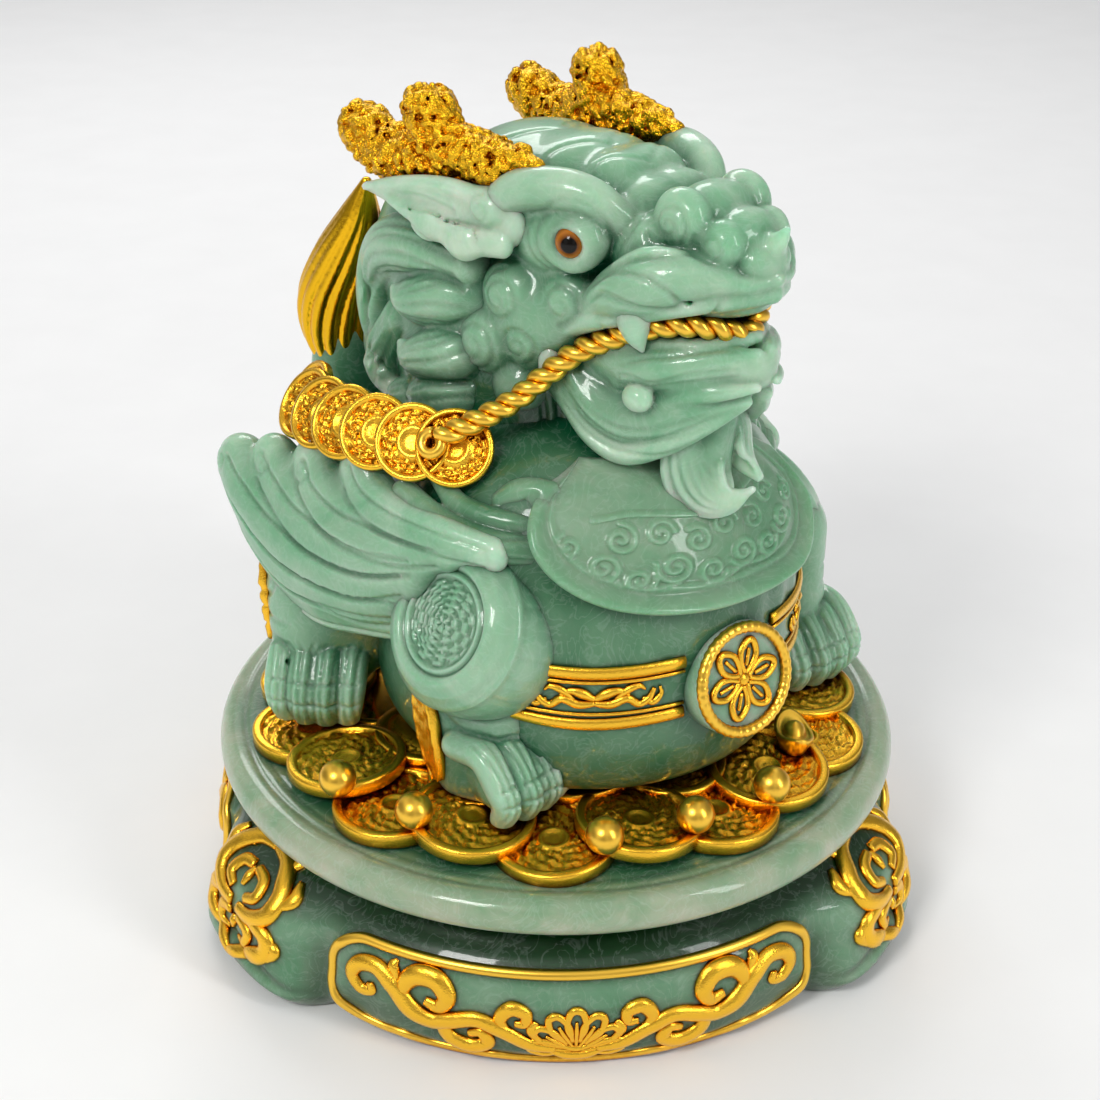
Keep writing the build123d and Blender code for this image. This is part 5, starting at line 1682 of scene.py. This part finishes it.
def make_rope():
    """Two strands twisted together, from coin to coin round the front of the mouth."""
    route = ROPE_HALF + [(52, 0, 153.5)] + [(x, -y, z) for x, y, z in reversed(ROPE_HALF)]
    rows = smooth_path(route, 26)
    length = np.concatenate([[0], np.cumsum(np.linalg.norm(np.diff(rows, axis=0), axis=1))])
    even = np.linspace(0, length[-1], 620)
    centre = np.stack([np.interp(even, length, rows[:, i]) for i in range(3)], 1)
    way = np.gradient(centre, axis=0)
    way = unit(way)
    up = np.array((0, 0, 1.0)) - way * way[:, 2:3]
    up = unit(up)
    side = np.cross(way, up)
    parts = []
    for start in (0, math.pi):
        turn = even / 8.0 * 2 * math.pi + start
        offset = up * np.cos(turn)[:, None] + side * np.sin(turn)[:, None]
        parts.append(tube(centre + offset * 1.1, 1.5, 12))
    for flip in (1, -1):
        first = np.array(ROPE_HALF[0]) * (1, flip, 1)
        knot = hoop(first + np.array((-1.5, -1.0 * flip, -1.5)), (0.3, -0.8 * flip, 0.5), 2.2, 1.3, 0, 330,
                    26)
        parts.append(tube(knot[:, :3], knot[:, 3], 12))
    add_mesh("rope_gilt", "rope", join(parts), GOLD_SMOOTH)


def make_tail():
    """Jade root with curled sides, and a gilt flame of long grooved locks."""
    root = Clay((-76, -36, 84), (-36, 8, 132), FINE)
    root.put(strand([(-46, -8, 92, 12), (-56, -12, 104, 10.5), (-58, -14, 115, 9), (-58, -14, 124, 7.5)]))
    root.put(ball((-59, -22, 108), 6.5), 1.0)
    root.put(ball((-63, -9, 106), 6.5), 1.0)
    carve_curl(root, (-59, -27, 108), (-0.2, -1, 0), 4.6, 1.6, 0.6, sides=(1,))
    for y in (-22, -17, -12, -7):
        carve_line(root, [(-63, y, 100, 0.4), (-67, y, 110, 0.7), (-65, y, 120, 0.5)], sides=(1,), soft=0.4)
    finish_clay(root, "tail_root_stone", "tail_base", JADE)
    flame = Clay((-78, -32, 108), (-40, 4, 168), FINE)
    spine = [(-56, -13, 114, 6), (-60, -13, 124, 9.5), (-60, -13.5, 134, 10), (-56, -14, 145, 8.2),
             (-51, -15, 155, 4.8), (-47, -15.5, 164.5, 0.7)]
    flame.put(strand([(x, y, z, r * 0.9) for x, y, z, r in spine]))
    for turn in range(16):
        a = 2 * math.pi * turn / 16
        route = []
        for x, y, z, r in spine:
            twist = a + (z - 116) * 0.02
            route.append((x + r * 0.82 * math.cos(twist), y + r * 0.9 * math.sin(twist), z, 0.3 + 0.16 * r))
        flame.put(strand(route), 0.3)
    finish_clay(flame, "tail_flame_gilt", "tail_flame", GOLD_DEEP)


# ---- carried-over nodes ----
HARDWARE = [(STEEL, ("bearing_lower_race", "bearing_upper_race", "bearing_balls", "pivot_rivet",
                     "plate_screws", "stand_screws")), (NYLON, ("ball_cage",)), (BOARD, ("base_cover",)),
            (FELT, ("felt_sheet",))]


def finish_frame_nodes():
    """Node materials for the mechanism's parts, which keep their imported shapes."""
    for material, nodes in HARDWARE:
        for part in bpy.data.objects:
            if part.name.split(".")[0] in nodes:
                for slot in part.material_slots:
                    slot.material = material
                if not part.material_slots:
                    part.data.materials.append(material)


# ---- studio ----
CAMERA_SPOT = (0.0, -396.9, 296.4)
CAMERA_DROP, CAMERA_PAN, CAMERA_ROLL = 28.118, 0.2856, 0.7111
CAMERA_LENS, SENSOR_WIDTH = 63.87, 36.0


def make_camera():
    """Camera at the viewing angle, with its drop, pan and roll in degrees."""
    drop, pan, roll = (math.radians(v) for v in (CAMERA_DROP, CAMERA_PAN, CAMERA_ROLL))
    ahead = Vector((-math.sin(pan) * math.cos(drop), math.cos(pan) * math.cos(drop), -math.sin(drop)))
    right = Vector((math.cos(pan), math.sin(pan), 0))
    up = right.cross(ahead)
    right, up = math.cos(roll) * right + math.sin(roll) * up, -math.sin(roll) * right + math.cos(roll) * up
    data = bpy.data.cameras.new("camera")
    data.lens, data.sensor_width = CAMERA_LENS, SENSOR_WIDTH
    data.clip_start, data.clip_end = 0.01, 20.0
    camera = bpy.data.objects.new("camera", data)
    bpy.context.collection.objects.link(camera)
    turn = Matrix((right, up, -ahead)).transposed().to_4x4()
    camera.matrix_world = Matrix.Translation(Vector(CAMERA_SPOT) * MM) @ turn
    bpy.context.scene.camera = camera


def add_light(name, spot, aim, size, power, color=(1, 1, 1)):
    """Rectangular lamp that looks at a point."""
    data = bpy.data.lights.new(name, "AREA")
    data.shape, data.size, data.size_y = "RECTANGLE", size[0], size[1]
    data.energy, data.color = power, color
    light = bpy.data.objects.new(name, data)
    bpy.context.collection.objects.link(light)
    light.location = spot
    light.rotation_euler = (Vector(aim) - Vector(spot)).to_track_quat("-Z", "Y").to_euler()


def make_floor():
    """Pale paper floor that runs to the horizon."""
    reach = 6.0
    mesh = bpy.data.meshes.new("floor")
    corners = [(x * reach, y * reach, 0) for x, y in ((-1, -1), (1, -1), (1, 1), (-1, 1))]
    mesh.from_pydata(corners, [], [(0, 1, 2, 3)])
    floor = bpy.data.objects.new("floor", mesh)
    bpy.context.collection.objects.link(floor)
    material, tree, shader, place = start_material("paper")
    tone = ramp(tree, noise(tree, place, 30.0), [(0.3, (0.86, 0.862, 0.865)), (0.7, (0.88, 0.882, 0.885))])
    set_inputs(tree, shader, Base_Color=tone, Roughness=0.9)
    mesh.materials.append(material)


def make_surroundings():
    """Bright surroundings with soft vertical bands, paler overhead."""
    world = bpy.data.worlds.new("surroundings")
    world.use_nodes = True
    tree = world.node_tree
    place = tree.nodes.new("ShaderNodeTexCoord").outputs["Generated"]
    split = add_node(tree, "ShaderNodeSeparateXYZ", Vector=place)
    sweep = figure(tree, "SINE", figure(tree, "MULTIPLY", split.outputs["X"], 7.0))
    bands = ramp(tree, sweep, [(0.0, grey(0.16)), (0.45, grey(0.35)), (0.60, grey(1.05))])
    tall = ramp(tree, split.outputs["Z"], [(0.0, grey(0.45)), (0.45, grey(0.40)), (0.75, grey(1.0))])
    set_inputs(tree, tree.nodes["Background"], Color=mix_color(tree, 0.5, bands, tall), Strength=0.75)
    bpy.context.scene.world = world


def make_studio():
    """Floor, surroundings and four soft lamps."""
    make_floor()
    make_surroundings()
    add_light("key", (-0.45, -0.75, 0.85), (0, 0, 0.08), (0.30, 0.30), 6.0, (1.0, 0.99, 0.97))
    add_light("strip", (0.75, -0.55, 0.55), (0, 0, 0.08), (0.15, 0.7), 3.2)
    add_light("rim", (-0.2, 0.8, 0.8), (0, 0, 0.12), (0.6, 0.3), 3.5)
    add_light("backdrop", (0.0, 1.3, 1.2), (0, 1.2, 0), (1.6, 1.2), 1.8)
    bpy.context.scene.view_settings.view_transform = "Standard"


def main():
    """Everything, in order."""
    make_camera()
    make_studio()
    make_stand_shell()
    make_panels()
    make_foot_ornaments()
    make_plate()
    make_heap()
    make_beads()
    make_belly()
    make_bib()
    make_belt()
    make_medallion()
    make_rump()
    make_neck()
    make_barrels()
    make_wings()
    make_legs()
    make_head()
    make_lower_jaw()
    make_beard()
    make_mane()
    make_ears()
    make_fangs()
    make_eyes()
    make_antlers()
    make_coin_strings()
    make_rope()
    make_tail()
    finish_frame_nodes()


main()
